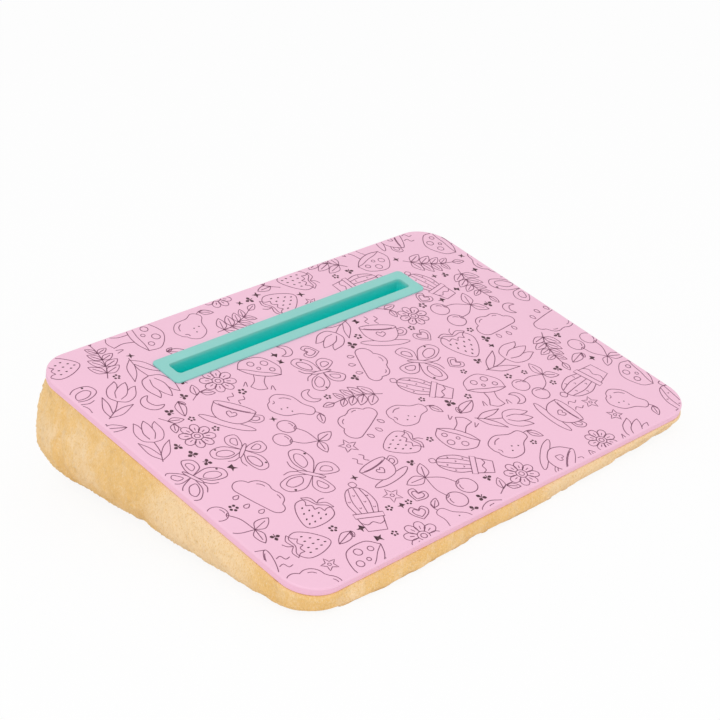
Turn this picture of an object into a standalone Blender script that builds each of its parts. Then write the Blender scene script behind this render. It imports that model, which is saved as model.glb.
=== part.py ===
"""Lap desk: a printed board with a moulded tablet slot, on a wedge-shaped bead cushion.

Metres, +Z up. +X runs to the user's right and +Y to the back, where the wedge is tall.
The origin is on the surface that the desk stands on, under the middle of its box.
The board's own frame has its origin in the middle of the printed face, +Z out of that face.
"""

import math

import bmesh
import bpy
from mathutils import Matrix, Vector

# Clearance between pieces that lie on or in one another
SEAT_GAP = 0.0003

# Board
BOARD_WIDTH = 0.430
BOARD_DEPTH = 0.310
BOARD_CORNER_RADIUS = 0.028
BOARD_SLOPE = math.radians(14.0)
FRONT_HEIGHT = 0.015
TOP_SHEET_THICKNESS = 0.0006
CORE_THICKNESS = 0.0048
UNDER_SHEET_THICKNESS = 0.0004
EDGE_BAND_THICKNESS = 0.0016
EDGE_BAND_ROUND = 0.0010

# Slot tray: a flange on the printed face round a well that goes down through the board
FLANGE_LENGTH = 0.272
FLANGE_WIDTH = 0.0323
FLANGE_THICKNESS = 0.0014
FLANGE_CORNER_RADIUS = 0.0045
FLANGE_EDGE_ROUND = 0.0005
FLANGE_FROM_BACK = 0.044
MOUTH_LENGTH = 0.253
MOUTH_WIDTH = 0.0137
MOUTH_CORNER_RADIUS = 0.0030
MOUTH_LIP_RADIUS = 0.0007
WELL_DEPTH = 0.015
WELL_WALL = 0.0018
WELL_DRAFT = math.radians(2.0)
WELL_FLOOR_RADIUS = 0.0015

# Snap lugs on the well's long walls, which catch under the board
LUGS_A_SIDE = 4
LUG_PITCH = 0.062
LUG_WIDTH = 0.012
LUG_HEIGHT = 0.0045
LUG_NOSE = 0.0008
LUG_CATCH = 0.0010

# Hook and loop tape between the board and the cushion
TAPE_WIDTH = 0.020
TAPE_THICKNESS = 0.0009
TAPE_CORNER_RADIUS = 0.002
LONG_TAPE_LENGTH = 0.180
SIDE_TAPE_LENGTH = 0.130
TAPE_FROM_EDGE = 0.014
SIDE_TAPE_FORWARD = 0.032

# Cushion. A side's section is two quarters of an ellipse that meet at its widest line.
RIM_INSET = 0.002
BULGE_SHARE = 0.11
BELLY_SHARE = 0.43
TUCK_SHARE = 0.43
CROWN_SHARE = 0.15
CORNER_SHARE = 0.25
RIM_ANGLE = math.radians(50.0)
BASE_ANGLE = math.radians(-90.0)
RIM_LEAD = 0.005
FLAT_CUT = 0.0005
COVER_THICKNESS = 0.0025
TOP_PANEL_THICKNESS = 0.0012
LINER_THICKNESS = 0.0005
SEAM_PAST_CORNER = 0.004
BASE_SEAM_FRONT = 0.0022
BASE_SEAM_BACK = 0.0090
TROUGH_FLARE = 0.003
TROUGH_CLEARANCE = 0.0006

# How finely round shapes are cut
CORNER_STEPS = 6
SIDE_STEPS = 6
UPPER_ROWS = 4
LOWER_ROWS = 6
BEVEL_SEGMENTS = 2
ROUNDED_FROM_ANGLE = math.radians(60.0)
SHARP_FROM_ANGLE = math.radians(40.0)

# Cutters run past what they cut by this much, and points this near to one another are one
OVERRUN = 0.010
MERGE_DISTANCE = 0.00001

# Colours are linear RGB, as on the product: printed pink, band, mint moulding, tan plush
MATERIALS = {
    "printed_top": ((0.913, 0.570, 0.716), 0.42, 0.0),
    "edge_band": ((0.847, 0.497, 0.638), 0.45, 0.0),
    "mint_plastic": ((0.300, 0.638, 0.591), 0.38, 0.0),
    "fibreboard": ((0.440, 0.300, 0.180), 0.85, 0.0),
    "backing_paper": ((0.700, 0.690, 0.670), 0.70, 0.0),
    "tan_plush": ((0.831, 0.556, 0.262), 0.95, 0.0),
    "tan_cloth": ((0.640, 0.440, 0.240), 0.90, 0.0),
    "liner_cloth": ((0.800, 0.790, 0.760), 0.85, 0.0),
    "tape": ((0.820, 0.810, 0.780), 0.80, 0.0),
    "beads": ((0.880, 0.880, 0.870), 0.60, 0.0),
}

BOARD_THICKNESS = (
    TOP_SHEET_THICKNESS + CORE_THICKNESS + UNDER_SHEET_THICKNESS + SEAT_GAP + SEAT_GAP
)
TRAY_Y = BOARD_DEPTH / 2 - FLANGE_FROM_BACK - FLANGE_WIDTH / 2
WELL_BOTTOM = WELL_DEPTH + WELL_WALL
CUT_OUT_MARGIN = WELL_WALL + SEAT_GAP
LUG_REACH = MOUTH_WIDTH / 2 + CUT_OUT_MARGIN + LUG_CATCH

# Depths of the layers under the printed face, square to the board
RIM_LEVEL = BOARD_THICKNESS + SEAT_GAP
LOOP_LEVEL = RIM_LEVEL + TAPE_THICKNESS + SEAT_GAP
TOP_PANEL_LEVEL = LOOP_LEVEL + TAPE_THICKNESS + SEAT_GAP
LINER_LEVEL = TOP_PANEL_LEVEL + TOP_PANEL_THICKNESS + SEAT_GAP
FILL_LEVEL = LINER_LEVEL + LINER_THICKNESS + SEAT_GAP

# The cushion's rim seen from above, and the height of its middle
RIM_WIDTH = BOARD_WIDTH - 2 * RIM_INSET
RIM_DEPTH = (BOARD_DEPTH - 2 * RIM_INSET) * math.cos(BOARD_SLOPE)
RIM_RADIUS = BOARD_CORNER_RADIUS - RIM_INSET
RIM_CENTRE = RIM_LEVEL * math.sin(BOARD_SLOPE)
FACE_HEIGHT = (
    FRONT_HEIGHT
    + BOARD_DEPTH / 2 * math.sin(BOARD_SLOPE)
    + BOARD_THICKNESS * math.cos(BOARD_SLOPE)
)
RIM_HEIGHT = FACE_HEIGHT - RIM_LEVEL * math.cos(BOARD_SLOPE)

# How far inside the cover's face the inner layers of the cushion lie
LINER_INSET = COVER_THICKNESS + SEAT_GAP
FILL_INSET = LINER_INSET + LINER_THICKNESS + SEAT_GAP


def clear_scene():
    for obj in list(bpy.data.objects):
        bpy.data.objects.remove(obj, do_unlink=True)


def new_collection(name, hidden=False):
    collection = bpy.data.collections.new(name)
    bpy.context.scene.collection.children.link(collection)
    collection.hide_render = hidden
    return collection


def make_material(name):
    colour, roughness, metallic = MATERIALS[name]
    material = bpy.data.materials.new(name)
    material.use_nodes = True
    shader = material.node_tree.nodes["Principled BSDF"]
    shader.inputs["Base Color"].default_value = (*colour, 1)
    shader.inputs["Roughness"].default_value = roughness
    shader.inputs["Metallic"].default_value = metallic
    material.diffuse_color = (*colour, 1)
    return material


def add_part(name, mesh, material, parent=None):
    """A sub-part of the desk, with its own material."""
    obj = bpy.data.objects.new(name, mesh)
    PARTS.objects.link(obj)
    obj.parent = parent
    mesh.materials.clear()
    mesh.materials.append(make_material(material))
    mesh.materials[0].name = name
    return obj


def add_guide(name, mesh, parent=None):
    """A shape that only cuts or adds to another, and isn't part of the desk."""
    obj = bpy.data.objects.new(name, mesh)
    GUIDES.objects.link(obj)
    obj.parent = parent
    obj.hide_render = True
    obj.display_type = "WIRE"
    return obj


def combine(target, guide, operation):
    """Cuts a guide out of a part, adds it, or keeps what both share."""
    modifier = target.modifiers.new(guide.name, "BOOLEAN")
    modifier.operation = operation
    modifier.object = guide
    modifier.solver = "EXACT"


def round_edges(obj, radius):
    """Rounds the edges that turn by a right angle, such as a plate's rims."""
    modifier = obj.modifiers.new("rounded_edges", "BEVEL")
    modifier.width = radius
    modifier.segments = BEVEL_SEGMENTS
    modifier.limit_method = "ANGLE"
    modifier.angle_limit = ROUNDED_FROM_ANGLE


def thicken(obj, thickness):
    """Gives an open skin its thickness, inwards."""
    modifier = obj.modifiers.new("thickness", "SOLIDIFY")
    modifier.thickness = thickness
    modifier.offset = -1.0
    modifier.use_even_offset = True


def smooth(obj):
    obj.data.shade_smooth()
    obj.data.set_sharp_from_angle(angle=SHARP_FROM_ANGLE)


def evaluated_mesh(obj):
    graph = bpy.context.evaluated_depsgraph_get()
    return bpy.data.meshes.new_from_object(obj.evaluated_get(graph))


def outline_point(width, depth, radius, station):
    """Point on a rounded rectangle at a station round it, and how near that is to mid-side.

    A station's whole part counts the sides anticlockwise from the right one. The first half of
    the rest runs along the side's straight stretch, and the second half round the corner. The
    nearness is 1 in the middle of a side and 0 on the corners.
    """
    quarter = math.floor(station)
    share = (station - quarter) * 2
    reach, along = (width, depth) if quarter % 2 == 0 else (depth, width)
    straight = along - 2 * radius
    turn = Matrix.Rotation(quarter * math.pi / 2, 2)
    if share < 1:
        return turn @ Vector((reach / 2, straight * share - straight / 2)), math.sin(math.pi * share)
    angle = (share - 1) * math.pi / 2
    arc = Vector((math.cos(angle), math.sin(angle))) * radius
    return turn @ (Vector((reach / 2 - radius, straight / 2)) + arc), 0.0


def outline_stations(side_steps):
    """Stations round a rounded rectangle: a few on each side, and finer ones on its corners."""
    stations = []
    for quarter in range(4):
        stations += [quarter + step / side_steps / 2 for step in range(side_steps)]
        stations += [quarter + (1 + step / CORNER_STEPS) / 2 for step in range(CORNER_STEPS)]
    return stations


def rounded_rectangle(width, depth, radius):
    return [outline_point(width, depth, radius, station)[0] for station in outline_stations(1)]


def plate_mesh(name, outline, bottom, top, centre=(0, 0)):
    """A flat outline as a solid between two heights, from a filled 2D curve."""
    curve = bpy.data.curves.new(name, "CURVE")
    curve.dimensions = "2D"
    curve.fill_mode = "BOTH"
    curve.extrude = (top - bottom) / 2
    spline = curve.splines.new("POLY")
    spline.points.add(len(outline) - 1)
    spline.use_cyclic_u = True
    for spline_point, point in zip(spline.points, outline):
        spline_point.co = (point.x, point.y, 0, 1)
    drawn = bpy.data.objects.new(name, curve)
    GUIDES.objects.link(drawn)
    mesh = evaluated_mesh(drawn)
    bpy.data.objects.remove(drawn)
    bpy.data.curves.remove(curve)
    body = bmesh.new()
    body.from_mesh(mesh)
    bmesh.ops.remove_doubles(body, verts=body.verts, dist=MERGE_DISTANCE)
    bmesh.ops.recalc_face_normals(body, faces=body.faces)
    bmesh.ops.translate(body, verts=body.verts, vec=(*centre, (top + bottom) / 2))
    body.to_mesh(mesh)
    body.free()
    return mesh


def loft_mesh(name, rings, closed=True):
    """A skin over rings of as many points each, from the lowest ring up, capped at both ends.

    An open loft has a cap only at its first ring.
    """
    body = bmesh.new()
    loops = [[body.verts.new(point) for point in ring] for ring in rings]
    for lower, upper in zip(loops, loops[1:]):
        for index in range(len(lower)):
            after = (index + 1) % len(lower)
            body.faces.new((lower[index], lower[after], upper[after], upper[index]))
    body.faces.new(reversed(loops[0]))
    if closed:
        body.faces.new(loops[-1])
    mesh = bpy.data.meshes.new(name)
    body.to_mesh(mesh)
    body.free()
    return mesh


def block_mesh(name, low, high):
    """A box between two corners."""
    low, high = Vector(low), Vector(high)
    body = bmesh.new()
    bmesh.ops.create_cube(body, size=1.0)
    bmesh.ops.scale(body, verts=body.verts, vec=high - low)
    bmesh.ops.translate(body, verts=body.verts, vec=(low + high) / 2)
    mesh = bpy.data.meshes.new(name)
    body.to_mesh(mesh)
    body.free()
    return mesh


def board_outline(inset):
    """The board's outline, drawn in by an inset."""
    return rounded_rectangle(
        BOARD_WIDTH - 2 * inset, BOARD_DEPTH - 2 * inset, BOARD_CORNER_RADIUS - inset
    )


def slot_rings(levels, radius):
    """Rounded rectangles round the slot's middle, from (depth under the face, margin) pairs.

    The margin is how far a ring stands outside the mouth.
    """
    rings = []
    for depth, margin in levels:
        outline = rounded_rectangle(
            MOUTH_LENGTH + 2 * margin, MOUTH_WIDTH + 2 * margin, radius + margin
        )
        rings.append([Vector((point.x, point.y + TRAY_Y, -depth)) for point in outline])
    return rings


def wall_margin(depth):
    """How far the well's inner wall stands outside the mouth at a depth, drawn in by the draft."""
    return -depth * math.tan(WELL_DRAFT)


def make_board(frame):
    """The core with its printed sheet, balancing sheet and edge band, all cut for the slot."""
    levels = [(BOARD_THICKNESS + OVERRUN, CUT_OUT_MARGIN), (-OVERRUN, CUT_OUT_MARGIN)]
    hole = add_guide(
        "board_cut_out",
        loft_mesh("board_cut_out", slot_rings(levels, MOUTH_CORNER_RADIUS)),
        frame,
    )
    outline = board_outline(EDGE_BAND_THICKNESS + SEAT_GAP)
    core_top = TOP_SHEET_THICKNESS + SEAT_GAP
    under_top = core_top + CORE_THICKNESS + SEAT_GAP
    sheets = (
        ("top_sheet", "printed_top", 0, TOP_SHEET_THICKNESS),
        ("board_core", "fibreboard", core_top, CORE_THICKNESS),
        ("under_sheet", "backing_paper", under_top, UNDER_SHEET_THICKNESS),
    )
    for name, material, depth, thickness in sheets:
        sheet = add_part(
            name, plate_mesh(name, outline, -depth - thickness, -depth), material, frame
        )
        combine(sheet, hole, "DIFFERENCE")
    band = add_part(
        "edge_band",
        plate_mesh("edge_band", board_outline(0), -BOARD_THICKNESS, 0),
        "edge_band",
        frame,
    )
    round_edges(band, EDGE_BAND_ROUND)
    inside = add_guide(
        "band_inside",
        plate_mesh(
            "band_inside",
            board_outline(EDGE_BAND_THICKNESS),
            -BOARD_THICKNESS - OVERRUN,
            OVERRUN,
        ),
        frame,
    )
    combine(band, inside, "DIFFERENCE")
    smooth(band)


def well_cavity_levels():
    """Levels of the well's inside from the floor up, with a filleted floor and a rounded lip."""
    levels = []
    floor_start = WELL_DEPTH - WELL_FLOOR_RADIUS
    for step in range(BEVEL_SEGMENTS + 1):
        turn = math.pi / 2 * step / BEVEL_SEGMENTS
        depth = floor_start + WELL_FLOOR_RADIUS * math.cos(turn)
        margin = wall_margin(floor_start) - WELL_FLOOR_RADIUS * (1 - math.sin(turn))
        levels.append((depth, margin))
    face = -SEAT_GAP - FLANGE_THICKNESS
    for step in range(BEVEL_SEGMENTS + 1):
        turn = math.pi / 2 * step / BEVEL_SEGMENTS
        depth = face + MOUTH_LIP_RADIUS * (1 - math.sin(turn))
        levels.append((depth, MOUTH_LIP_RADIUS * (1 - math.cos(turn))))
    levels.append((face - OVERRUN, MOUTH_LIP_RADIUS))
    return levels


def lug_mesh():
    """The snap lugs: wedges that ramp out from the well's wall and stop square under the board."""
    top = RIM_LEVEL
    root = MOUTH_WIDTH / 2 + wall_margin(top + LUG_HEIGHT)
    wall = MOUTH_WIDTH / 2 + WELL_WALL + wall_margin(top + LUG_HEIGHT)
    profile = (
        (root, -top),
        (LUG_REACH, -top),
        (LUG_REACH, -top - LUG_NOSE),
        (wall, -top - LUG_HEIGHT),
        (root, -top - LUG_HEIGHT),
    )
    first = -LUG_PITCH * (LUGS_A_SIDE - 1) / 2
    body = bmesh.new()
    for side in (-1, 1):
        for index in range(LUGS_A_SIDE):
            start = first + index * LUG_PITCH - LUG_WIDTH / 2
            corners = [body.verts.new((start, TRAY_Y + side * y, z)) for y, z in profile]
            face = body.faces.new(corners)
            pushed = bmesh.ops.extrude_face_region(body, geom=[face])
            moved = [item for item in pushed["geom"] if isinstance(item, bmesh.types.BMVert)]
            bmesh.ops.translate(body, verts=moved, vec=(LUG_WIDTH, 0, 0))
    bmesh.ops.recalc_face_normals(body, faces=body.faces)
    mesh = bpy.data.meshes.new("tray_lugs")
    body.to_mesh(mesh)
    body.free()
    return mesh


def make_slot_tray(frame):
    """The moulded insert: flange, drafted well with a filleted floor, and snap lugs."""
    outline = rounded_rectangle(FLANGE_LENGTH, FLANGE_WIDTH, FLANGE_CORNER_RADIUS)
    tray = add_part(
        "slot_tray",
        plate_mesh(
            "slot_tray", outline, SEAT_GAP, SEAT_GAP + FLANGE_THICKNESS, (0, TRAY_Y)
        ),
        "mint_plastic",
        frame,
    )
    round_edges(tray, FLANGE_EDGE_ROUND)
    outer_levels = [
        (WELL_BOTTOM, WELL_WALL + wall_margin(WELL_BOTTOM) - WELL_FLOOR_RADIUS),
        (
            WELL_BOTTOM - WELL_FLOOR_RADIUS,
            WELL_WALL + wall_margin(WELL_BOTTOM - WELL_FLOOR_RADIUS),
        ),
        (-SEAT_GAP - FLANGE_THICKNESS / 2, WELL_WALL),
    ]
    well = add_guide(
        "tray_well",
        loft_mesh("tray_well", slot_rings(outer_levels, MOUTH_CORNER_RADIUS)),
        frame,
    )
    lugs = add_guide("tray_lugs", lug_mesh(), frame)
    cavity = add_guide(
        "tray_cavity",
        loft_mesh("tray_cavity", slot_rings(well_cavity_levels(), MOUTH_CORNER_RADIUS)),
        frame,
    )
    combine(tray, well, "UNION")
    combine(tray, lugs, "UNION")
    combine(tray, cavity, "DIFFERENCE")
    smooth(tray)


def tape_places():
    """Name, middle and size of each strip of tape, in the board's plane."""
    long_y = BOARD_DEPTH / 2 - TAPE_FROM_EDGE - TAPE_WIDTH / 2
    side_x = BOARD_WIDTH / 2 - TAPE_FROM_EDGE - TAPE_WIDTH / 2
    return (
        ("front", (0, -long_y), (LONG_TAPE_LENGTH, TAPE_WIDTH)),
        ("back", (0, long_y), (LONG_TAPE_LENGTH, TAPE_WIDTH)),
        ("left", (-side_x, -SIDE_TAPE_FORWARD), (TAPE_WIDTH, SIDE_TAPE_LENGTH)),
        ("right", (side_x, -SIDE_TAPE_FORWARD), (TAPE_WIDTH, SIDE_TAPE_LENGTH)),
    )


def make_tapes(frame):
    """Hook tape on the board's underside, each strip facing loop tape on the cushion."""
    for side, centre, (length, width) in tape_places():
        outline = rounded_rectangle(length, width, TAPE_CORNER_RADIUS)
        for kind, level in (("hook", RIM_LEVEL), ("loop", LOOP_LEVEL)):
            name = f"{kind}_strip_{side}"
            mesh = plate_mesh(name, outline, -level - TAPE_THICKNESS, -level, centre)
            add_part(name, mesh, "tape", frame)


def side_section(height, fullness, angle):
    """Where the cushion's side is at an angle round its section: how far out of the rim, how high.

    The angle runs down from the rim's through zero at the widest line to the base's. The second
    value is the direction out of the cover's face.
    """
    bulge = height * BULGE_SHARE * (1 + CROWN_SHARE * fullness)
    belly = height * BELLY_SHARE
    if angle > 0:
        across = bulge / (1 - math.cos(RIM_ANGLE))
        up = (height - belly) / math.sin(RIM_ANGLE)
    else:
        across = height * TUCK_SHARE
        up = belly + FLAT_CUT
    place = Vector((bulge - across * (1 - math.cos(angle)), belly + up * math.sin(angle)))
    return place, Vector((up * math.cos(angle), across * math.sin(angle))).normalized()


def section_angles():
    upper = [RIM_ANGLE * (1 - step / UPPER_ROWS) for step in range(UPPER_ROWS)]
    lower = [BASE_ANGLE * step / LOWER_ROWS for step in range(LOWER_ROWS + 1)]
    return upper + lower


def cushion_column(station, inset):
    """Points down the cushion's skin at one station round it, an inset inside the cover's face.

    The first lies past the board's underside, where the skin is then cut off.
    """
    rim, fullness = outline_point(RIM_WIDTH, RIM_DEPTH, RIM_RADIUS, station)
    height = RIM_HEIGHT + rim.y * math.tan(BOARD_SLOPE)
    column = []
    for angle in section_angles():
        place, normal = side_section(height, fullness, angle)
        corner = RIM_RADIUS + CORNER_SHARE * place.x - normal.x * inset
        places = [place - normal * inset]
        if not column:
            places.insert(0, places[0] + Vector((-normal.y, normal.x)) * RIM_LEAD)
        for out, high in places:
            point, _ = outline_point(RIM_WIDTH + 2 * out, RIM_DEPTH + 2 * out, corner, station)
            column.append(Vector((point.x, point.y + RIM_CENTRE, high)))
    return column


def cushion_rings(inset):
    """Rings of the cushion's skin from the base up."""
    columns = [cushion_column(station, inset) for station in outline_stations(SIDE_STEPS)]
    return [list(ring) for ring in zip(*map(reversed, columns))]


def above_level(name, level, frame):
    """A block over a level under the printed face, which cuts the cushion's layers off."""
    half = BOARD_WIDTH
    return add_guide(
        name, block_mesh(name, (-half, -half, -level), (half, half, half)), frame
    )


def trough_levels(level, margin):
    """Levels of the trough that the well presses into the cushion, from its bottom to a sheet.

    The margin is how much larger the trough is than the one that lies against the well.
    """
    base = CUT_OUT_MARGIN + LUG_CATCH + TROUGH_CLEARANCE + margin
    return [(WELL_BOTTOM + SEAT_GAP + margin, base), (level, base + TROUGH_FLARE)]


def trough_hollow(name, level, margin, frame):
    """The inside of a trough, which also cuts through the sheet above it."""
    levels = trough_levels(level, margin)
    levels.append((level - OVERRUN, levels[-1][1]))
    return add_guide(name, loft_mesh(name, slot_rings(levels, MOUTH_CORNER_RADIUS)), frame)


def make_pressed_sheet(name, material, level, thickness, margin, inside, frame):
    """A cloth panel across the cushion, pressed down into a trough under the well."""
    rings = slot_rings(trough_levels(level, margin + thickness), MOUTH_CORNER_RADIUS)
    outer = add_guide(name + "_trough", loft_mesh(name + "_trough", rings), frame)
    mesh = plate_mesh(name, board_outline(0), -level - thickness, -level)
    sheet = add_part(name, mesh, material, frame)
    combine(sheet, inside, "INTERSECT")
    combine(sheet, outer, "UNION")
    combine(sheet, trough_hollow(name + "_hollow", level, margin, frame), "DIFFERENCE")
    return sheet


def cover_shell(frame):
    """The plush skin in one piece: open under the board, and cut flat where it stands."""
    mesh = loft_mesh("cover_shell", cushion_rings(0), closed=False)
    shell = add_guide("cover_shell", mesh)
    thicken(shell, COVER_THICKNESS)
    combine(shell, above_level("over_rim", RIM_LEVEL, frame), "DIFFERENCE")
    half = BOARD_WIDTH
    ground = add_guide("ground", block_mesh("ground", (-half, -half, -half), (half, half, 0)))
    combine(shell, ground, "DIFFERENCE")
    return shell


def base_seam_matrix(front, back, lift):
    """The tilted plane of the seam round the base panel, raised by a lift."""
    rise = BASE_SEAM_BACK - BASE_SEAM_FRONT
    middle = (BASE_SEAM_BACK + BASE_SEAM_FRONT) / 2
    tilt = math.atan2(rise, back - front)
    place = Matrix.Translation((0, (front + back) / 2, middle + lift))
    return place @ Matrix.Rotation(tilt, 4, "X")


def make_cover(frame):
    """The five plush panels, cut from the one skin along their seams."""
    shell = cover_shell(frame)
    seam = RIM_DEPTH / 2 - RIM_RADIUS - SEAM_PAST_CORNER
    front = RIM_CENTRE - seam
    back = RIM_CENTRE + seam
    far = BOARD_WIDTH
    above = (
        ("cover_left", (-far, front + SEAT_GAP, -far), (0, back - SEAT_GAP, far)),
        ("cover_right", (0, front + SEAT_GAP, -far), (far, back - SEAT_GAP, far)),
        ("cover_front", (-far, -far, -far), (far, front, far)),
        ("cover_back", (-far, back, -far), (far, far, far)),
    )
    block = block_mesh("over_seam", (-far, -far, 0), (far, far, far))
    over_seam = add_guide("over_seam", block)
    over_seam.matrix_world = base_seam_matrix(front, back, SEAT_GAP)
    block = block_mesh("under_seam", (-far, -far, -far), (far, far, 0))
    under_seam = add_guide("under_seam", block)
    under_seam.matrix_world = base_seam_matrix(front, back, 0)
    skin = evaluated_mesh(shell)
    for name, low, high in above:
        panel = add_part(name, skin.copy(), "tan_plush")
        combine(panel, over_seam, "INTERSECT")
        region = add_guide(name + "_region", block_mesh(name + "_region", low, high))
        combine(panel, region, "INTERSECT")
        smooth(panel)
    base = add_part("cover_base", skin.copy(), "tan_plush")
    combine(base, under_seam, "INTERSECT")
    smooth(base)


def make_filling(frame):
    """The top panel, the inner bag's two panels, and the beads that they hold."""
    inside = add_guide(
        "inside_cover", loft_mesh("inside_cover", cushion_rings(LINER_INSET))
    )
    make_pressed_sheet(
        "cover_top", "tan_cloth", TOP_PANEL_LEVEL, TOP_PANEL_THICKNESS, 0, inside, frame
    )
    liner_margin = TOP_PANEL_THICKNESS + SEAT_GAP
    make_pressed_sheet(
        "liner_top", "liner_cloth", LINER_LEVEL, LINER_THICKNESS, liner_margin, inside, frame
    )
    over_fill = above_level("over_fill", FILL_LEVEL, frame)
    rings = cushion_rings(LINER_INSET)
    liner = add_part(
        "liner_lower", loft_mesh("liner_lower", rings, closed=False), "liner_cloth"
    )
    thicken(liner, LINER_THICKNESS)
    combine(liner, over_fill, "DIFFERENCE")
    smooth(liner)
    rings = cushion_rings(FILL_INSET)
    fill = add_part("bead_fill", loft_mesh("bead_fill", rings), "beads")
    combine(fill, over_fill, "DIFFERENCE")
    fill_margin = liner_margin + LINER_THICKNESS + SEAT_GAP
    combine(fill, trough_hollow("fill_hollow", FILL_LEVEL, fill_margin, frame), "DIFFERENCE")
    smooth(fill)


def centre_on_origin():
    """Moves the desk so that the origin is under the middle of its box."""
    bpy.context.view_layer.update()
    graph = bpy.context.evaluated_depsgraph_get()
    reach = []
    for obj in PARTS.objects:
        solid = obj.evaluated_get(graph)
        reach += [(solid.matrix_world @ Vector(corner)).y for corner in solid.bound_box]
    shift = Matrix.Translation((0, -(min(reach) + max(reach)) / 2, 0))
    for obj in bpy.data.objects:
        if obj.parent is None:
            obj.matrix_world = shift @ obj.matrix_world


clear_scene()
PARTS = new_collection("lap_desk")
GUIDES = new_collection("guides", hidden=True)
BOARD_FRAME = bpy.data.objects.new("board_frame", None)
PARTS.objects.link(BOARD_FRAME)
BOARD_FRAME.location.z = FACE_HEIGHT
BOARD_FRAME.rotation_euler.x = BOARD_SLOPE
bpy.context.view_layer.update()
make_board(BOARD_FRAME)
make_slot_tray(BOARD_FRAME)
make_tapes(BOARD_FRAME)
make_cover(BOARD_FRAME)
make_filling(BOARD_FRAME)
centre_on_origin()
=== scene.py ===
"""The looks of a wedge-shaped lap desk: a printed board with a moulded slot, on a plush cushion.

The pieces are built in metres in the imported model's own frame: +X to the user's right, +Y to the
back, where the wedge is tall, and +Z up from the surface that the desk stands on.
"""

import functools
import math
import random

import bmesh
import bpy
import numpy as np
from mathutils import Matrix, Vector, noise


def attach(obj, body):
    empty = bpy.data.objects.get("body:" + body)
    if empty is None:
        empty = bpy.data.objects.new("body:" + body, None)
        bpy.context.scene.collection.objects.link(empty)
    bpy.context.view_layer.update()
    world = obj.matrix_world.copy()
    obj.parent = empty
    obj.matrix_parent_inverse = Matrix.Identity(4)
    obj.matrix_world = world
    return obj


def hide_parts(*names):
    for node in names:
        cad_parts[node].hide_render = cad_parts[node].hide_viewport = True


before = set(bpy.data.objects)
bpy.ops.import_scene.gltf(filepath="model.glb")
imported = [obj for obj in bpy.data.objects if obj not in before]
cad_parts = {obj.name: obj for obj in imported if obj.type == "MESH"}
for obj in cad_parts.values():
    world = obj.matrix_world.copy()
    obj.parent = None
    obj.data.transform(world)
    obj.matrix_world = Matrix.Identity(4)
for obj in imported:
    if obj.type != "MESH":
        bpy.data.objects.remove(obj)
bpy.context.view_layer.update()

# Board, as in the part. A plan is a width, a depth and a corner radius.
SEAT_GAP = 0.0003
BOARD_WIDTH = 0.430
BOARD_DEPTH = 0.310
BOARD_CORNER_RADIUS = 0.028
BOARD_PLAN = (BOARD_WIDTH, BOARD_DEPTH, BOARD_CORNER_RADIUS)
BOARD_THICKNESS = 0.0064
TOP_SHEET_THICKNESS = 0.0006
EDGE_BAND_THICKNESS = 0.0016
EDGE_BAND_ROUND = 0.0012
EDGE_BAND_FOOT_ROUND = 0.0004

# Where the edge band's ends meet, as a station round the board, and half their gap
BAND_JOINT = 1.25
BAND_GAP = 0.00012

# Laminated film over the board's top, which wraps over the edge band's rounding
FILM_THICKNESS = 0.00010
FILM_GAP = 0.00002
FILM_LAP = 0.0017

# Slot insert, as in the part
FLANGE_LENGTH = 0.272
FLANGE_WIDTH = 0.0323
FLANGE_CORNER_RADIUS = 0.0045
FLANGE_PLAN = (FLANGE_LENGTH, FLANGE_WIDTH, FLANGE_CORNER_RADIUS)
FLANGE_THICKNESS = 0.0014
FLANGE_EDGE_ROUND = 0.0006
FLANGE_FROM_BACK = 0.044
MOUTH_LENGTH = 0.253
MOUTH_WIDTH = 0.0137
MOUTH_CORNER_RADIUS = 0.0030
MOUTH_PLAN = (MOUTH_LENGTH, MOUTH_WIDTH, MOUTH_CORNER_RADIUS)
MOUTH_LIP_RADIUS = 0.0009
WELL_DEPTH = 0.015
WELL_WALL = 0.0018
WELL_DRAFT = math.radians(2.0)
WELL_FLOOR_RADIUS = 0.0015
LUGS_A_SIDE = 4
LUG_PITCH = 0.062
LUG_WIDTH = 0.012
LUG_HEIGHT = 0.0045
LUG_NOSE = 0.0008
LUG_CATCH = 0.0010

# Fineness of the moulded and printed pieces: steps along each side and round each corner of a
# plan, and steps over a rounded edge
BOARD_STEPS = (24, 18)
CUT_OUT_STEPS = (12, 6)
SLOT_STEPS = (30, 10)
ROUND_STEPS = 5
THIN_ROUND_STEPS = 4
HIDDEN_ROUND_STEPS = 3
SMOOTH_UP_TO = math.radians(35.0)

# Cushion, as in the part
RIM_INSET = 0.002
BULGE_SHARE = 0.11
BELLY_SHARE = 0.43
TUCK_SHARE = 0.43
CROWN_SHARE = 0.15
CORNER_SHARE = 0.25
RIM_ANGLE = math.radians(50.0)
TOP_PANEL_DROP = 0.0024
TROUGH_CLEARANCE = 0.0016
TROUGH_FLARE = 0.007

# Cushion's skin: its cells, its hem as steps in and down from the rim, how firmly the filling
# holds its base, and how flat a face of the base lies
CELLS_ACROSS = 80
CELLS_DEEP = 58
SIDE_ROWS = 14
RIM_LIP = ((0.0012, 0.0), (0.0026, 0.0004), (0.0032, TOP_PANEL_DROP))
BASE_HELD = 0.85
BASE_FACING = 0.98

# How the filling swells the cover
SIM_FRAMES = 14
COVER_SLACK = 0.014
MOST_SWELL = 0.0045
COVER_CLOTH = {
    "quality": 6,
    "mass": 0.01,
    "tension_stiffness": 5,
    "compression_stiffness": 5,
    "shear_stiffness": 2,
    "bending_stiffness": 0.3,
    "shrink_min": -COVER_SLACK,
    "use_pressure": True,
    "uniform_pressure_force": 20.0,
    "pin_stiffness": 1.0,
}

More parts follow.
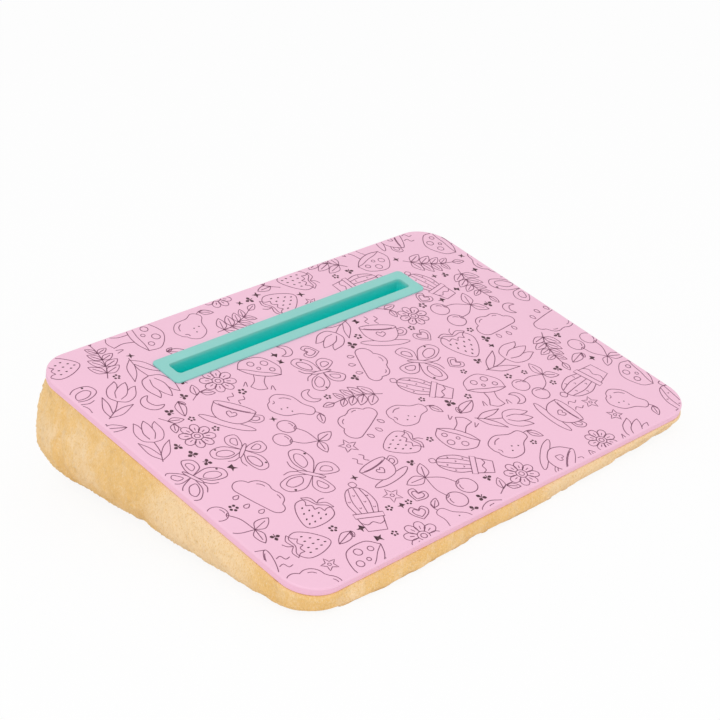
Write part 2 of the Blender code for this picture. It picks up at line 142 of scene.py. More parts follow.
# Where the sides stand fuller or slacker: middle, reach, and how far out. A pair that follows is a
# ramp: where a move of the skin starts, and how much further on it has its full strength.
FULL_PLACES = (
    ((-0.205, -0.152, 0.004), 0.028, -0.0022),
    ((-0.125, -0.155, 0.010), 0.075, 0.0052),
    ((0.015, -0.155, 0.010), 0.045, 0.0030),
    ((0.192, -0.155, 0.010), 0.052, -0.0050),
    ((-0.222, -0.060, 0.020), 0.055, 0.0016),
    ((-0.222, 0.110, 0.045), 0.075, -0.0034),
    ((-0.215, 0.150, 0.008), 0.022, 0.0024),
    ((0.222, 0.110, 0.045), 0.075, -0.0034),
)
FULL_BY_OUTLINE = (-0.045, 0.035)
FULL_UNDER_BOARD = (0.001, 0.007)
PILE_TO_EDGE = 0.0020
PILE_RISE = 0.0003
RIM_PILE_BY_OUTLINE = (-0.0033, 0.0012)
RIM_PILE_UNDER_BOARD = (0.0, 0.009)

# Pile, lumps and folds of the plush. Lumps are given by how many go to a metre, and their depth.
# Folds fan out from a place near each back corner, in waves of a count, a phase and a share.
PILE_ROUGHNESS = 0.00030
PILE_SEED = 41
PILE_SPACING = 0.0013
PILE_LEAST = 0.1
LUMPS = ((20, 0.0010), (75, 0.00025), (210, 0.0004))
LUMP_STRETCH = 0.7
LUMPS_BY_HEIGHT = (0.0, 0.035)
LUMPS_LEAST = 0.15
FOLD_DEPTH = 0.0020
FOLD_REACH = 0.045
FOLD_CORNER = (0.213, 0.137)
FOLD_SPREAD = 0.05
FOLD_WAVES = ((17, 1, 0.6), (29, -1, 0.4))
OFF_FLOOR = (0.0004, 0.006)
LUMPS_UNDER_BOARD = (0.0, 0.010)
LUMPS_ON_FLOOR = 0.12
PILE_UNDER_BOARD = (0.0, 0.003)
PILE_ON_FLOOR = 0.2

# Seams round the base panel and up the corners
SEAM_DEPTH = 0.0016
SEAM_REACH = 0.0018
SEAM_ABOVE = 0.0005
BASE_SEAM_FRONT = 0.0008
BASE_SEAM_BACK = 0.0040
FRONT_SEAM_SHARE = 0.4
CORNER_SEAMS = (-0.123, 0.113)
CORNER_SEAM_SHARE = 0.4
CORNER_SEAM_ZONE = 0.02

# Inner bag of beads
BAG_CELLS_ACROSS = 72
BAG_CELLS_DEEP = 50
BAG_ROWS = 10
BAG_INSET = 0.010
BAG_UNDER_PANEL = 0.0032
BEAD_LUMP = 0.0007
BEAD_LUMPS_A_METRE = 160

# Where the plush looks paler, partly where its nap was stroked the other way and partly painted
# light
# on the front and sides: middle and reach of each patch, with heights shortened by the share that
# stretches the patches into upright streaks
STREAK_SHARE = 0.35
NAP_AND_LIGHT_PATCHES = (
    ((-0.222, -0.052, 0.007), 0.043),
    ((0.126, -0.155, 0.004), 0.096),
    ((-0.222, 0.138, 0.018), 0.004),
    ((0.225, 0.060, 0.014), 0.035),
)
NAP_AND_LIGHT_RAGGED = 0.06
NAP_AND_LIGHT_EDGE = (0.045, 0.020)
NAP_AND_LIGHT_SHARE = 0.88
TUFT_SHARE = 0.38
HAIR_SHADE = 0.30
HAIR_PLAIN = 0.52
HAIR_HIGHLIGHT = 0.75

# Ink: widths and heights in metres
LINE_WIDTH = 0.00068
LINE_SPREAD = 0.12
LINE_ABOVE = 0.00006
LINE_BELOW = 0.00005
LINE_FROM_EDGE = 0.0014
LINE_UNDER_FLANGE = 0.0012

# Drawings, in millimetres, and how often a step over the print's edge is halved to find it
MILLIMETRE = 0.001
ARC_STEP = 1.2
LINE_STEP = 1.5
EDGE_HALVINGS = 8

# Scatter of the drawings, in millimetres: a place is tight if most of a drawing's samples are near
# others. The flange counts as taken, but for its ends and a strip along each side.
SAMPLE_STEP = 2.5
SCATTER_CELL = 2.0
SCATTER_REACH = 46.0
SCATTER_SEED = 12
DRAWING_REACH = 12
TIGHTNESS_PERCENTILE = 75
FLANGE_END = 6
FLANGE_HALF_TAKEN = 8
FLANGE_BATCH = 60

# How drawings are fitted in: least gap, tries, sizes, and how far beyond the board they may centre
MAIN_FIT = (4.0, 900, (0.95, 1.16), 8)
SMALL_FIT = (3.6, 700, (0.8, 1.05), -4)
ACCENT_FIT = (2.6, 700, (0.8, 1.1), -4)
SMALL_COUNT = 24
ACCENT_COUNT = 70

# Camera, found by fitting the board and its slot to the photo
LENS = 95.21
SENSOR = 36.0
AIM = (0.01233, 0.03111, 0.0)
AIM_DISTANCE = 1.50568
VIEW_FORWARD = Vector((0.64359, 0.64768, -0.40780))

# Light: each lamp's name, place, size and power
WORLD_LEVEL = 0.828
LAMPS = (
    ("key_lamp", (-1.5, -1.0, 1.6), 1.6, 10.6),
    ("front_lamp", (0.9, -1.8, 0.5), 1.2, 1.8),
)
FLOOR_RADIUS = 8.0
FLOOR_SEGMENTS = 96
FLOOR_GLOW = 0.9

# Sizes that follow from the ones above
TRAY_Y = BOARD_DEPTH / 2 - FLANGE_FROM_BACK - FLANGE_WIDTH / 2
WELL_BOTTOM = WELL_DEPTH + WELL_WALL
CUT_OUT_MARGIN = WELL_WALL + SEAT_GAP
RIM_LEVEL = BOARD_THICKNESS + SEAT_GAP
RIM_WIDTH = BOARD_WIDTH - 2 * RIM_INSET
RIM_DEPTH = BOARD_DEPTH - 2 * RIM_INSET
RIM_CORNER_RADIUS = BOARD_CORNER_RADIUS - RIM_INSET
PANEL_LEVEL = RIM_LEVEL + TOP_PANEL_DROP
PANEL_MARGIN = CUT_OUT_MARGIN + LUG_CATCH + TROUGH_CLEARANCE
INK_LOW = FILM_THICKNESS - LINE_BELOW
INK_HIGH = FILM_THICKNESS + LINE_ABOVE

# Linear colours. Several in a row run from dark to light.
PRINT_PINK = (0.920, 0.558, 0.712)
BAND_PINK = (0.890, 0.512, 0.678)
INK_PLUM = (0.190, 0.072, 0.125)
ACCENT_BROWN = (0.075, 0.030, 0.042)
MINT = (0.270, 0.640, 0.590)
# Painted shade: the teal and deep teal stand in for the shade inside the slot's well
WELL_DEEP_SHADE_TEAL = (0.007, 0.740, 0.690)
WELL_WALL_SHADE_TEAL = (0.070, 0.660, 0.610)
FIBRE_BROWNS = (0.25, 0.16, 0.09), (0.44, 0.30, 0.18), (0.58, 0.43, 0.28)
PAPER_GREYS = (0.62, 0.60, 0.57), (0.70, 0.69, 0.67), (0.76, 0.75, 0.73)
HOOK_WHITE = (0.80, 0.79, 0.76)
LOOP_WHITE = (0.84, 0.83, 0.80)
WEAVE_TANS = (0.50, 0.33, 0.17), (0.66, 0.46, 0.26)
LINER_WHITES = (0.72, 0.71, 0.68), (0.82, 0.81, 0.78)
PLUSH_GOLD = (0.865, 0.535, 0.190)
PLUSH_TAN = (0.925, 0.592, 0.240)
PLUSH_PALE = (0.985, 0.725, 0.440)
# Painted shade for the pile's depths, and painted highlight for its tips
PLUSH_PAINTED_SHADE = (0.835, 0.510, 0.160)
PLUSH_PAINTED_HIGHLIGHT = (0.970, 0.745, 0.470)
PLUSH_SHEEN = (1.0, 0.90, 0.74)
FLOOR_WHITE = (0.950, 0.950, 0.950)


# Shader building


class Shading:
    """A node tree under construction, for a material or for a group."""

    def __init__(self, tree):
        self.tree = tree

    def node(self, kind, inputs=None, **settings):
        """Adds a node with its settings. Inputs are values, or sockets to link from."""
        made = self.tree.nodes.new(kind)
        for name, value in settings.items():
            setattr(made, name, value)
        for name, value in (inputs or {}).items():
            self.feed(made.inputs[name], value)
        return made

    def feed(self, socket, value):
        if isinstance(value, bpy.types.NodeSocket):
            self.tree.links.new(value, socket)
        elif socket.type == "RGBA" and len(value) == 3:
            socket.default_value = (*value, 1)
        else:
            socket.default_value = value

    def mix(self, kind, share, first, second):
        """One value or colour turning into another. A Mix node's sockets go by number."""
        one, other, result = {"FLOAT": (2, 3, 0), "RGBA": (6, 7, 2)}[kind]
        made = self.node("ShaderNodeMix", {0: share, one: first, other: second}, data_type=kind)
        return made.outputs[result]

    def blend(self, share, first, second):
        return self.mix("RGBA", share, first, second)

    def maths(self, operation, *values):
        return self.node("ShaderNodeMath", dict(enumerate(values)), operation=operation).outputs[0]

    def ramp(self, value, start, end):
        """A value spread softly from 0 at the start to 1 at the end."""
        given = {"Value": value, "From Min": start, "From Max": end}
        made = self.node("ShaderNodeMapRange", given, interpolation_type="SMOOTHSTEP")
        return made.outputs["Result"]

    def spread(self, value, low, high):
        """A value from 0 to 1 spread over a range."""
        given = {"Value": value, "To Min": low, "To Max": high}
        return self.node("ShaderNodeMapRange", given).outputs["Result"]

    def noise(self, place, scale, detail=2.0, roughness=0.5):
        given = {"Vector": place, "Scale": scale, "Detail": detail, "Roughness": roughness}
        return self.node("ShaderNodeTexNoise", given).outputs["Fac"]


def new_group(name, inputs, outputs):
    """A shader group with named sockets: its tree, what it is given, and what it has to put out."""
    group = bpy.data.node_groups.new(name, "ShaderNodeTree")
    group.interface.new_socket("Place", in_out="INPUT", socket_type="NodeSocketVector")
    for socket, default in inputs.items():
        kind = "NodeSocketFloat" if isinstance(default, float) else "NodeSocketColor"
        made = group.interface.new_socket(socket, in_out="INPUT", socket_type=kind)
        made.default_value = default
    for socket, kind in outputs.items():
        group.interface.new_socket(socket, in_out="OUTPUT", socket_type=kind)
    shading = Shading(group)
    return shading, shading.node("NodeGroupInput").outputs, shading.node("NodeGroupOutput").inputs


def build_cloud_group():
    """Soft clouds of a second and a third colour over a first one, as on dyed or brushed cloth."""
    shading, given, wanted = new_group(
        "cloudy_colour",
        {
            "Scale": 20.0,
            "Spread": 0.2,
            "Dark": (0.5, 0.5, 0.5, 1),
            "Middle": (0.6, 0.6, 0.6, 1),
            "Light": (0.7, 0.7, 0.7, 1),
        },
        {"Color": "NodeSocketColor", "Cloud": "NodeSocketFloat"},
    )
    drift = shading.noise(given["Place"], given["Scale"], 4.0, 0.55)
    above = shading.maths("ADD", 0.5, given["Spread"])
    below = shading.maths("SUBTRACT", 0.5, given["Spread"])
    paler = shading.blend(shading.ramp(drift, 0.5, above), given["Middle"], given["Light"])
    colour = shading.blend(shading.ramp(drift, below, 0.5), given["Dark"], paler)
    shading.feed(wanted["Color"], colour)
    shading.feed(wanted["Cloud"], drift)
    return shading.tree


def build_grain_group():
    """A fine all-over grain as a height, with a coarser one mixed in."""
    shading, given, wanted = new_group(
        "fine_grain",
        {"Fine": 2000.0, "Coarse": 500.0, "Coarse Share": 0.3},
        {"Height": "NodeSocketFloat"},
    )
    fine = shading.noise(given["Place"], given["Fine"], 2.0, 0.6)
    coarse = shading.noise(given["Place"], given["Coarse"], 2.0, 0.5)
    shading.feed(wanted["Height"], shading.mix("FLOAT", given["Coarse Share"], fine, coarse))
    return shading.tree


def build_weave_group():
    """A plain weave's threads as a height, and a mask that is 1 where the warp lies on top."""
    shading, given, wanted = new_group(
        "plain_weave",
        {"Thread": 0.0006},
        {"Height": "NodeSocketFloat", "Warp": "NodeSocketFloat"},
    )
    parts = shading.node("ShaderNodeSeparateXYZ", {"Vector": given["Place"]}).outputs
    turns = shading.maths("DIVIDE", math.pi, given["Thread"])
    warp = shading.maths("SINE", shading.maths("MULTIPLY", parts["X"], turns))
    weft = shading.maths("SINE", shading.maths("MULTIPLY", parts["Y"], turns))
    on_top = shading.ramp(shading.maths("MULTIPLY", warp, weft), -0.2, 0.2)
    crowns = [shading.maths("ABSOLUTE", threads) for threads in (warp, weft)]
    height = shading.maths("MULTIPLY", shading.maths("MAXIMUM", *crowns), 0.8)
    shading.feed(wanted["Height"], height)
    shading.feed(wanted["Warp"], on_top)
    return shading.tree


CLOUDS = build_cloud_group()
GRAIN = build_grain_group()
WEAVE = build_weave_group()


class Finish(Shading):
    """A material under construction, with one Principled surface."""

    def __init__(self, name, roughness, **settings):
        self.material = bpy.data.materials.new(name)
        self.material.use_nodes = True
        super().__init__(self.material.node_tree)
        self.surface = self.tree.nodes["Principled BSDF"]
        self.feed(self.surface.inputs["Roughness"], roughness)
        for name, value in settings.items():
            self.feed(self.surface.inputs[name.replace("_", " ")], value)

    @functools.cached_property
    def place(self):
        """Where a point lies, in the desk's own frame."""
        return self.node("ShaderNodeTexCoord").outputs["Object"]

    def stretched(self, x, y, z):
        """The place, scaled by a factor along each axis."""
        given = {"Vector": self.place, "Scale": (x, y, z)}
        return self.node("ShaderNodeMapping", given).outputs[0]

    def group(self, tree, place, **inputs):
        given = {name.replace("_", " "): value for name, value in inputs.items()}
        return self.node("ShaderNodeGroup", {"Place": place, **given}, node_tree=tree).outputs

    def colour(self, value):
        self.feed(self.surface.inputs["Base Color"], value)

    def rough(self, value, low, high):
        """Roughness that follows a value from 0 to 1."""
        self.feed(self.surface.inputs["Roughness"], self.spread(value, low, high))

    def relief(self, height, depth, strength=1.0):
        given = {"Height": height, "Distance": depth, "Strength": strength}
        self.feed(self.surface.inputs["Normal"], self.node("ShaderNodeBump", given).outputs[0])

    def clouds(self, place, colours, scale, spread=0.3):
        """Clouds of a dark and a light colour over a middle one."""
        dark, middle, light = colours
        return self.group(
            CLOUDS, place, Scale=scale, Spread=spread, Dark=dark, Middle=middle, Light=light
        )

    def tinted(self, colour, scale, darker, lighter):
        """A colour with faint clouds of a darker and a lighter shade."""
        shades = shade_of(colour, darker), colour, shade_of(colour, lighter)
        return self.clouds(self.place, shades, scale)["Color"]

    def grained(self, depth, strength, fine, coarse, share, place=None, rough=None):
        """A grain in relief, with a share of a coarser one. The roughness may follow it."""
        grain = self.group(GRAIN, place or self.place, Fine=fine, Coarse=coarse, Coarse_Share=share)
        self.relief(grain["Height"], depth, strength)
        if rough:
            self.rough(grain["Height"], *rough)


def shade_of(colour, factor):
    return tuple(min(1.0, channel * factor) for channel in colour)


def make_printed_film():
    """Satin laminate over the pink print: faint clouds of ink, and a barely visible orange peel."""
    finish = Finish("printed_film", 0.42, Specular_IOR_Level=0.35)
    finish.colour(finish.tinted(PRINT_PINK, scale=14.0, darker=0.985, lighter=1.012))
    finish.grained(0.00004, 0.5, fine=1500.0, coarse=260.0, share=0.5, rough=(0.38, 0.50))
    return finish.material


def make_ink(name, colour):
    """Ink on the film, printed a little unevenly."""
    finish = Finish(name, 0.50, Specular_IOR_Level=0.25)
    press = finish.noise(finish.place, 420.0, 3.0)
    finish.colour(finish.blend(finish.ramp(press, 0.35, 0.75), colour, shade_of(colour, 1.5)))
    finish.rough(press, 0.42, 0.60)
    return finish.material


def make_band_vinyl():
    """The lilac-pink vinyl round the board's edge, with a fine calendered grain."""
    finish = Finish("band_vinyl", 0.45, Specular_IOR_Level=0.35)
    finish.colour(finish.tinted(BAND_PINK, scale=25.0, darker=0.97, lighter=1.03))
    finish.grained(0.00006, 0.6, fine=2400.0, coarse=700.0, share=0.4, rough=(0.36, 0.54))
    return finish.material


def make_mint_moulding(normal, level):
    """Mint moulded plastic with painted shade that turns it teal down the well, with a spark-eroded
    grain.
    """
    finish = Finish("mint_moulding", 0.40, Specular_IOR_Level=0.4)
    given = {0: finish.place, 1: normal}
    height = finish.node("ShaderNodeVectorMath", given, operation="DOT_PRODUCT").outputs["Value"]
    sunk = finish.maths("SUBTRACT", level, height)
    face = finish.tinted(MINT, scale=30.0, darker=0.96, lighter=1.04)
    # Painted shade: the mint turns teal down the well's lip and walls, and deep teal towards its
    # floor
    wall = finish.blend(finish.ramp(sunk, -0.0012, 0.0030), face, WELL_WALL_SHADE_TEAL)
    finish.colour(finish.blend(finish.ramp(sunk, 0.0020, 0.0100), wall, WELL_DEEP_SHADE_TEAL))
    finish.grained(0.00007, 0.7, fine=3000.0, coarse=900.0, share=0.35, rough=(0.34, 0.52))
    return finish.material


def make_fibreboard():
    """Pressed wood fibre: dark and light flecks on brown."""
    finish = Finish("pressed_fibre", 0.85, Specular_IOR_Level=0.2)
    flecks = finish.clouds(finish.stretched(1, 1, 3), FIBRE_BROWNS, scale=900.0, spread=0.25)
    finish.colour(flecks["Color"])
    finish.grained(0.0002, 0.7, fine=2600.0, coarse=600.0, share=0.5)
    return finish.material


def make_backing_paper():
    """Plain pulp paper on the board's underside."""
    finish = Finish("balancing_paper", 0.75, Specular_IOR_Level=0.25)
    finish.colour(finish.clouds(finish.place, PAPER_GREYS, scale=240.0)["Color"])
    finish.grained(0.00008, 0.6, fine=3000.0, coarse=800.0, share=0.3)
    return finish.material


def make_tape(name, colour, spacing, height):
    """Hook or loop tape: a woven ground with its pile of hooks or loops standing on it."""
    finish = Finish(name, 0.80, Sheen_Weight=0.2)
    cloth = finish.group(WEAVE, finish.place, Thread=spacing)
    finish.colour(finish.blend(cloth["Warp"], shade_of(colour, 0.82), colour))
    curls = finish.noise(finish.place, 1.6 / spacing, 3.0, 0.7)
    finish.relief(finish.maths("ADD", cloth["Height"], curls), height)
    return finish.material


def make_woven_cloth(name, dark, light, thread):
    """Plain-woven cloth with its two sets of threads a shade apart, and slubs along them."""
    finish = Finish(name, 0.88, Sheen_Weight=0.25, Sheen_Roughness=0.5)
    cloth = finish.group(WEAVE, finish.place, Thread=thread)
    slubs = finish.noise(finish.stretched(1, 12, 12), 40.0, 3.0)
    threads = finish.blend(cloth["Warp"], dark, light)
    finish.colour(finish.blend(finish.ramp(slubs, 0.4, 0.8), threads, shade_of(light, 1.06)))
    finish.rough(slubs, 0.80, 0.95)
    finish.relief(cloth["Height"], thread / 2)
    return finish.material


def make_tan_plush():
    """Short-pile plush: clouds where the nap lies another way, paler patches partly of painted
    light, streaks down it, and fine pile with painted shade in its depths and painted highlights on
    its tips.
    """
    finish = Finish(
        "short_plush", 0.92, Sheen_Weight=0.25, Sheen_Roughness=0.6, Sheen_Tint=PLUSH_SHEEN,
        Specular_IOR_Level=0.12,
    )
    golds = PLUSH_GOLD, PLUSH_TAN, PLUSH_PALE
    nap = finish.clouds(finish.place, golds, scale=30.0, spread=0.10)
    tufts = finish.clouds(finish.stretched(1, 1, 0.45), golds, scale=110.0, spread=0.20)
    upright = finish.stretched(1, 1, STREAK_SHARE)
    # Paler patches: partly nap stroked the other way, partly painted light where the sides would
    # render darker
    nap_and_light = 0.0
    for centre, reach in NAP_AND_LIGHT_PATCHES:
        away = finish.node("ShaderNodeVectorMath", {0: upright, 1: centre}, operation="DISTANCE")
        ragged = finish.maths(
            "MULTIPLY_ADD", nap["Cloud"], NAP_AND_LIGHT_RAGGED, away.outputs["Value"]
        )
        outer, inner = (reach + edge for edge in NAP_AND_LIGHT_EDGE)
        nap_and_light = finish.maths("MAXIMUM", nap_and_light, finish.ramp(ragged, outer, inner))
    clouded = finish.blend(TUFT_SHARE, nap["Color"], tufts["Color"])
    nap_and_light_share = finish.maths("MULTIPLY", nap_and_light, NAP_AND_LIGHT_SHARE)
    paler = finish.blend(nap_and_light_share, clouded, PLUSH_PALE)
    hairs = finish.noise(upright, 1300.0, 3.0, 0.7)
    # Painted shade in the pile's depths and painted highlights on its tips
    pile_shade = finish.blend(finish.ramp(hairs, HAIR_PLAIN, HAIR_SHADE), paler, PLUSH_PAINTED_SHADE)
    finish.colour(finish.blend(finish.ramp(hairs, HAIR_PLAIN, HAIR_HIGHLIGHT), pile_shade, PLUSH_PAINTED_HIGHLIGHT))
    finish.rough(hairs, 0.85, 1.0)
    drawn_out = finish.stretched(1, 1, 0.6)
    finish.grained(0.0012, 0.8, fine=1500.0, coarse=420.0, share=0.45, place=drawn_out)
    return finish.material


# Outlines and solids


def outline_point(width, depth, radius, station):
    """Point on a rounded rectangle at a station round it, and how near that is to mid-side.

    A station's whole part counts the sides anticlockwise from the right one. The first half of
    the rest runs along the side's straight stretch, and the second half round the corner. The
    nearness is 1 in the middle of a side and 0 on the corners.
    """
    quarter = math.floor(station)
    share = (station - quarter) * 2
    reach, along = (width, depth) if quarter % 2 == 0 else (depth, width)
    straight = along - 2 * radius
    turn = Matrix.Rotation(quarter * math.pi / 2, 2)
    if share < 1:
        point = Vector((reach / 2, straight * share - straight / 2))
        return turn @ point, math.sin(math.pi * share)
    angle = (share - 1) * math.pi / 2
    rounded = Vector((math.cos(angle), math.sin(angle))) * radius
    return turn @ (Vector((reach / 2 - radius, straight / 2)) + rounded), 0.0


def plan_stations(side_steps, corner_steps):
    """Stations round a rounded rectangle: a few on each side, and finer ones on its corners."""
    stations = []
    for quarter in range(4):
        stations += [quarter + step / side_steps / 2 for step in range(side_steps)]
        stations += [quarter + (1 + step / corner_steps) / 2 for step in range(corner_steps)]
    return stations


def plan_ring(body, plan, inset, height, stations, centre_y=0.0):
    """Vertices round a plan that is drawn in by an inset, at a height over the printed face."""
    width, depth, radius = plan
    ring = []
    for station in stations:
        point, _ = outline_point(width - 2 * inset, depth - 2 * inset, radius - inset, station)
        ring.append(body.verts.new((point.x, point.y + centre_y, height)))
    return ring


def rounding(radius, steps):
    """How far in and how far down a rounded edge lies at each step, from its face to its side."""
    turns = [math.pi / 2 * step / steps for step in range(steps + 1)]
    return [(radius * (1 - math.sin(turn)), radius * (1 - math.cos(turn))) for turn in turns]


def skin(body, loops, wrapped=False):
    """Quads between each ring of vertices and the next one."""
    pairs = list(zip(loops, loops[1:]))
    if wrapped:
        pairs.append((loops[-1], loops[0]))
    for lower, upper in pairs:
        for index in range(len(lower)):
            after = (index + 1) % len(lower)
            body.faces.new((lower[index], lower[after], upper[after], upper[index]))


def close_ends(body, loops):
    """A face over the first ring of vertices, and one over the last."""
    for loop in (loops[0], loops[-1]):
        body.faces.new(loop)


def finished_mesh(body, name):
    """The mesh of a body in the board's frame, faces outwards, smoothed up to an angle."""
    bmesh.ops.recalc_face_normals(body, faces=body.faces)
    mesh = bpy.data.meshes.new(name)
    body.to_mesh(mesh)
    body.free()
    mesh.transform(BOARD)
    mesh.shade_smooth()
    mesh.set_sharp_from_angle(angle=SMOOTH_UP_TO)
    return mesh


def add_object(name, data):
    made = bpy.data.objects.new(name, data)
    bpy.context.scene.collection.objects.link(made)
    return made


def add_piece(mesh, slot, *materials):
    """A visible piece with its materials, which rides on the desk's one body. Its slot is not used.
    """
    for material in materials:
        mesh.materials.append(material)
    piece = add_object(mesh.name, mesh)
    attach(piece, "root")
    return piece


def board_matrix():
    """The printed face's own frame: its middle, with X to the user's right and Z square to it."""
    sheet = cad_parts["top_sheet"].data
    face = max(sheet.polygons, key=lambda polygon: polygon.normal.z * polygon.area)
    up = face.normal.normalized()
    right = Vector((1, 0, 0))
    back = up.cross(right)
    reach = [vertex.co.dot(back) for vertex in sheet.vertices]
    level = max(vertex.co.dot(up) for vertex in sheet.vertices)
    middle = back * ((min(reach) + max(reach)) / 2) + up * level
    return Matrix.Translation(middle) @ Matrix((right, back, up)).transposed().to_4x4()


BOARD = board_matrix()
FACE_NORMAL = BOARD.to_3x3() @ Vector((0, 0, 1))
BOARD_SLOPE = math.atan2(-FACE_NORMAL.y, FACE_NORMAL.z)


# Board


def over_edge(out, steps):
    """Insets and heights that follow the board's rounded top edge at a distance out from it."""
    return [(across - out, out - down) for across, down in rounding(EDGE_BAND_ROUND + out, steps)]


def make_board_edge():
    """The band round the board, rounded at its top and foot, with its butt joint at the back."""
    around = [station for station in plan_stations(*BOARD_STEPS) if station != BAND_JOINT]
    around.sort(key=lambda station: (station - BAND_JOINT) % 4)
    stations = [BAND_JOINT + BAND_GAP, *around, BAND_JOINT - BAND_GAP]
    levels = over_edge(0.0, ROUND_STEPS)
    for across, up in reversed(rounding(EDGE_BAND_FOOT_ROUND, ROUND_STEPS)):
        levels.append((across, up - BOARD_THICKNESS))
    levels += [(EDGE_BAND_THICKNESS, -BOARD_THICKNESS), (EDGE_BAND_THICKNESS, 0)]
    body = bmesh.new()
    rings = [plan_ring(body, BOARD_PLAN, inset, height, stations) for inset, height in levels]
    sections = list(zip(*rings))
    skin(body, sections)
    close_ends(body, sections)
    edge = add_piece(finished_mesh(body, "board_edge"), "edge_band", make_band_vinyl())
    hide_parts("edge_band")


def fill_between(body, *loops):
    """Closes the flat region between an outer ring of vertices and the rings inside it."""
    edges = []
    for loop in loops:
        for index, vertex in enumerate(loop):
            after = loop[(index + 1) % len(loop)]
            edges.append(body.edges.get((vertex, after)) or body.edges.new((vertex, after)))
    bmesh.ops.triangle_fill(body, edges=edges, use_beauty=True, use_dissolve=False)


def make_printed_face():
    """The printed sheet, cut out for the slot, with its laminate wrapped over the board's edge."""
    seat = EDGE_BAND_THICKNESS + SEAT_GAP
    levels = [(seat, -TOP_SHEET_THICKNESS), (seat, FILM_GAP)]
    levels += over_edge(FILM_GAP, THIN_ROUND_STEPS)
    levels += [(-FILM_GAP, -FILM_LAP), (-FILM_THICKNESS, -FILM_LAP)]
    levels += reversed(over_edge(FILM_THICKNESS, THIN_ROUND_STEPS))
    body = bmesh.new()
    around = plan_stations(*BOARD_STEPS)
    outer = [plan_ring(body, BOARD_PLAN, inset, height, around) for inset, height in levels]
    around = plan_stations(*CUT_OUT_STEPS)
    hole = [
        plan_ring(body, MOUTH_PLAN, -CUT_OUT_MARGIN, height, around, TRAY_Y)
        for height in (-TOP_SHEET_THICKNESS, FILM_THICKNESS)
    ]
    skin(body, outer)
    skin(body, hole)
    fill_between(body, outer[-1], hole[-1])
    fill_between(body, outer[0], hole[0])
    face = add_piece(finished_mesh(body, "printed_face"), "printed_top", make_printed_film())
    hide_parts("top_sheet")


# Print: line drawings from a garden and a kitchen, scattered over the face


def arc(centre, across, up, start, end):
    """Points along an ellipse, from one angle to another in degrees, about a millimetre apart."""
    steps = max(6, int(abs(end - start) / 360 * math.pi * (across + up) / ARC_STEP))
    points = []
    for step in range(steps + 1):
        angle = math.radians(start + (end - start) * step / steps)
        points.append((centre[0] + across * math.cos(angle), centre[1] + up * math.sin(angle)))
    return points


def oval(centre, across, up):
    """A whole ellipse. A closed line ends with None."""
    return arc(centre, across, up, 0, 360)[:-1] + [None]


def circle(x, y, radius):
    return oval((x, y), radius, radius)


def through(*places, closed=False):
    """A smooth line through the places, in millimetres."""
    places = [Vector(place) for place in places]
    count = len(places)
    points = []
    for index in range(count if closed else count - 1):
        here, there = places[index], places[(index + 1) % count]
        before = places[index - 1] if closed or index else here * 2 - there
        last = closed or index + 2 < count
        after = places[(index + 2) % count] if last else there * 2 - here
        steps = max(2, round((there - here).length / LINE_STEP))
        for step in range(steps):
            t = step / steps
            bend = (
                here * 2 + (there - before) * t
                + (before * 2 - here * 5 + there * 4 - after) * t * t
                + (here * 3 - before - there * 3 + after) * t * t * t
            ) / 2
            points.append((bend.x, bend.y))
    points.append(None if closed else tuple(places[-1]))
    return points


def balanced(*places, closed=False):
    """A smooth line through places that end on the middle line, and on through their mirror."""
    back = places[-2:0:-1] if closed else places[-2::-1]
    return through(*places, *((-x, y) for x, y in back), closed=closed)


def mirrored(line):
    return [point and (-point[0], point[1]) for point in line]


def both_sides(*lines):
    return [*lines, *(mirrored(line) for line in lines)]


def placed(lines, angle=0.0, centre=(0, 0), size=1.0):
    """Lines turned by an angle in degrees, resized, and moved to a centre."""
    cos, sin = math.cos(math.radians(angle)) * size, math.sin(math.radians(angle)) * size
    return [
        [point and (centre[0] + point[0] * cos - point[1] * sin,
                    centre[1] + point[0] * sin + point[1] * cos) for point in line]
        for line in lines
    ]


def placed_round(lines, count):
    """Copies of lines, spaced evenly round the middle."""
    return [line for turn in range(count) for line in placed(lines, turn * 360 / count)]


def leaf(length, width, vein=0.75):
    """A leaf that points up from its foot, with its vein."""
    side = through((0, 0), (-width / 2, length * 0.35), (-width / 3, length * 0.75), (0, length))
    return both_sides(side) + [[(0, 0), (0, length * vein / 2), (0, length * vein)]]


# Each drawing is a function that returns its lines, and its parts in solid ink


def daisy():
    petal = balanced((1.5, 4.2), (3.7, 8.2), (2.6, 12.6), (0, 13.8))
    lines = [circle(0, 0, 4.4), circle(0, 0, 2.2)]
    lines += placed_round([petal, [(0, 6.5), (0, 9.6)]], 8)
    lines += [through((0, -13.9), (-1.6, -22), (0.8, -33))]
    lines += placed(leaf(13, 6.5), 52, (-0.6, -26)) + placed(leaf(11, 6), -48, (-0.9, -21))
    return placed(lines, centre=(0, 9)), []


def tulip():
    lines = both_sides(
        through((0, -3), (-8, 0), (-11.5, 10), (-8.5, 22)),
        through((-8.5, 22), (-5.6, 18.5), (-4.2, 14)),
        through((-4.2, 14), (-2.6, 19.5), (0, 24)),
        through((-4.2, 14), (-4.6, 8), (-2.0, 1.0)),
    )
    lines += [through((0, -3), (1, -14), (-1, -27))]
    lines += both_sides(
        through((0, -25), (-8, -17), (-12.5, -2)),
        through((-12.5, -2), (-5.5, -9), (0, -19)),
    )
    return lines, []


def sprig():
    lines = [through((0, -28), (2.5, -12), (0.5, 6), (-3, 17))]
    for foot, size in (((1.0, -21), 1.15), ((2.3, -12), 1.1), ((1.9, -3), 0.95), ((0.2, 6), 0.8)):
        for angle in (-52, 55):
            lines += placed(leaf(14, 7), angle, foot, size)
    lines += placed(leaf(13, 6.5), 14, (-3, 17), 0.9)
    return lines, []


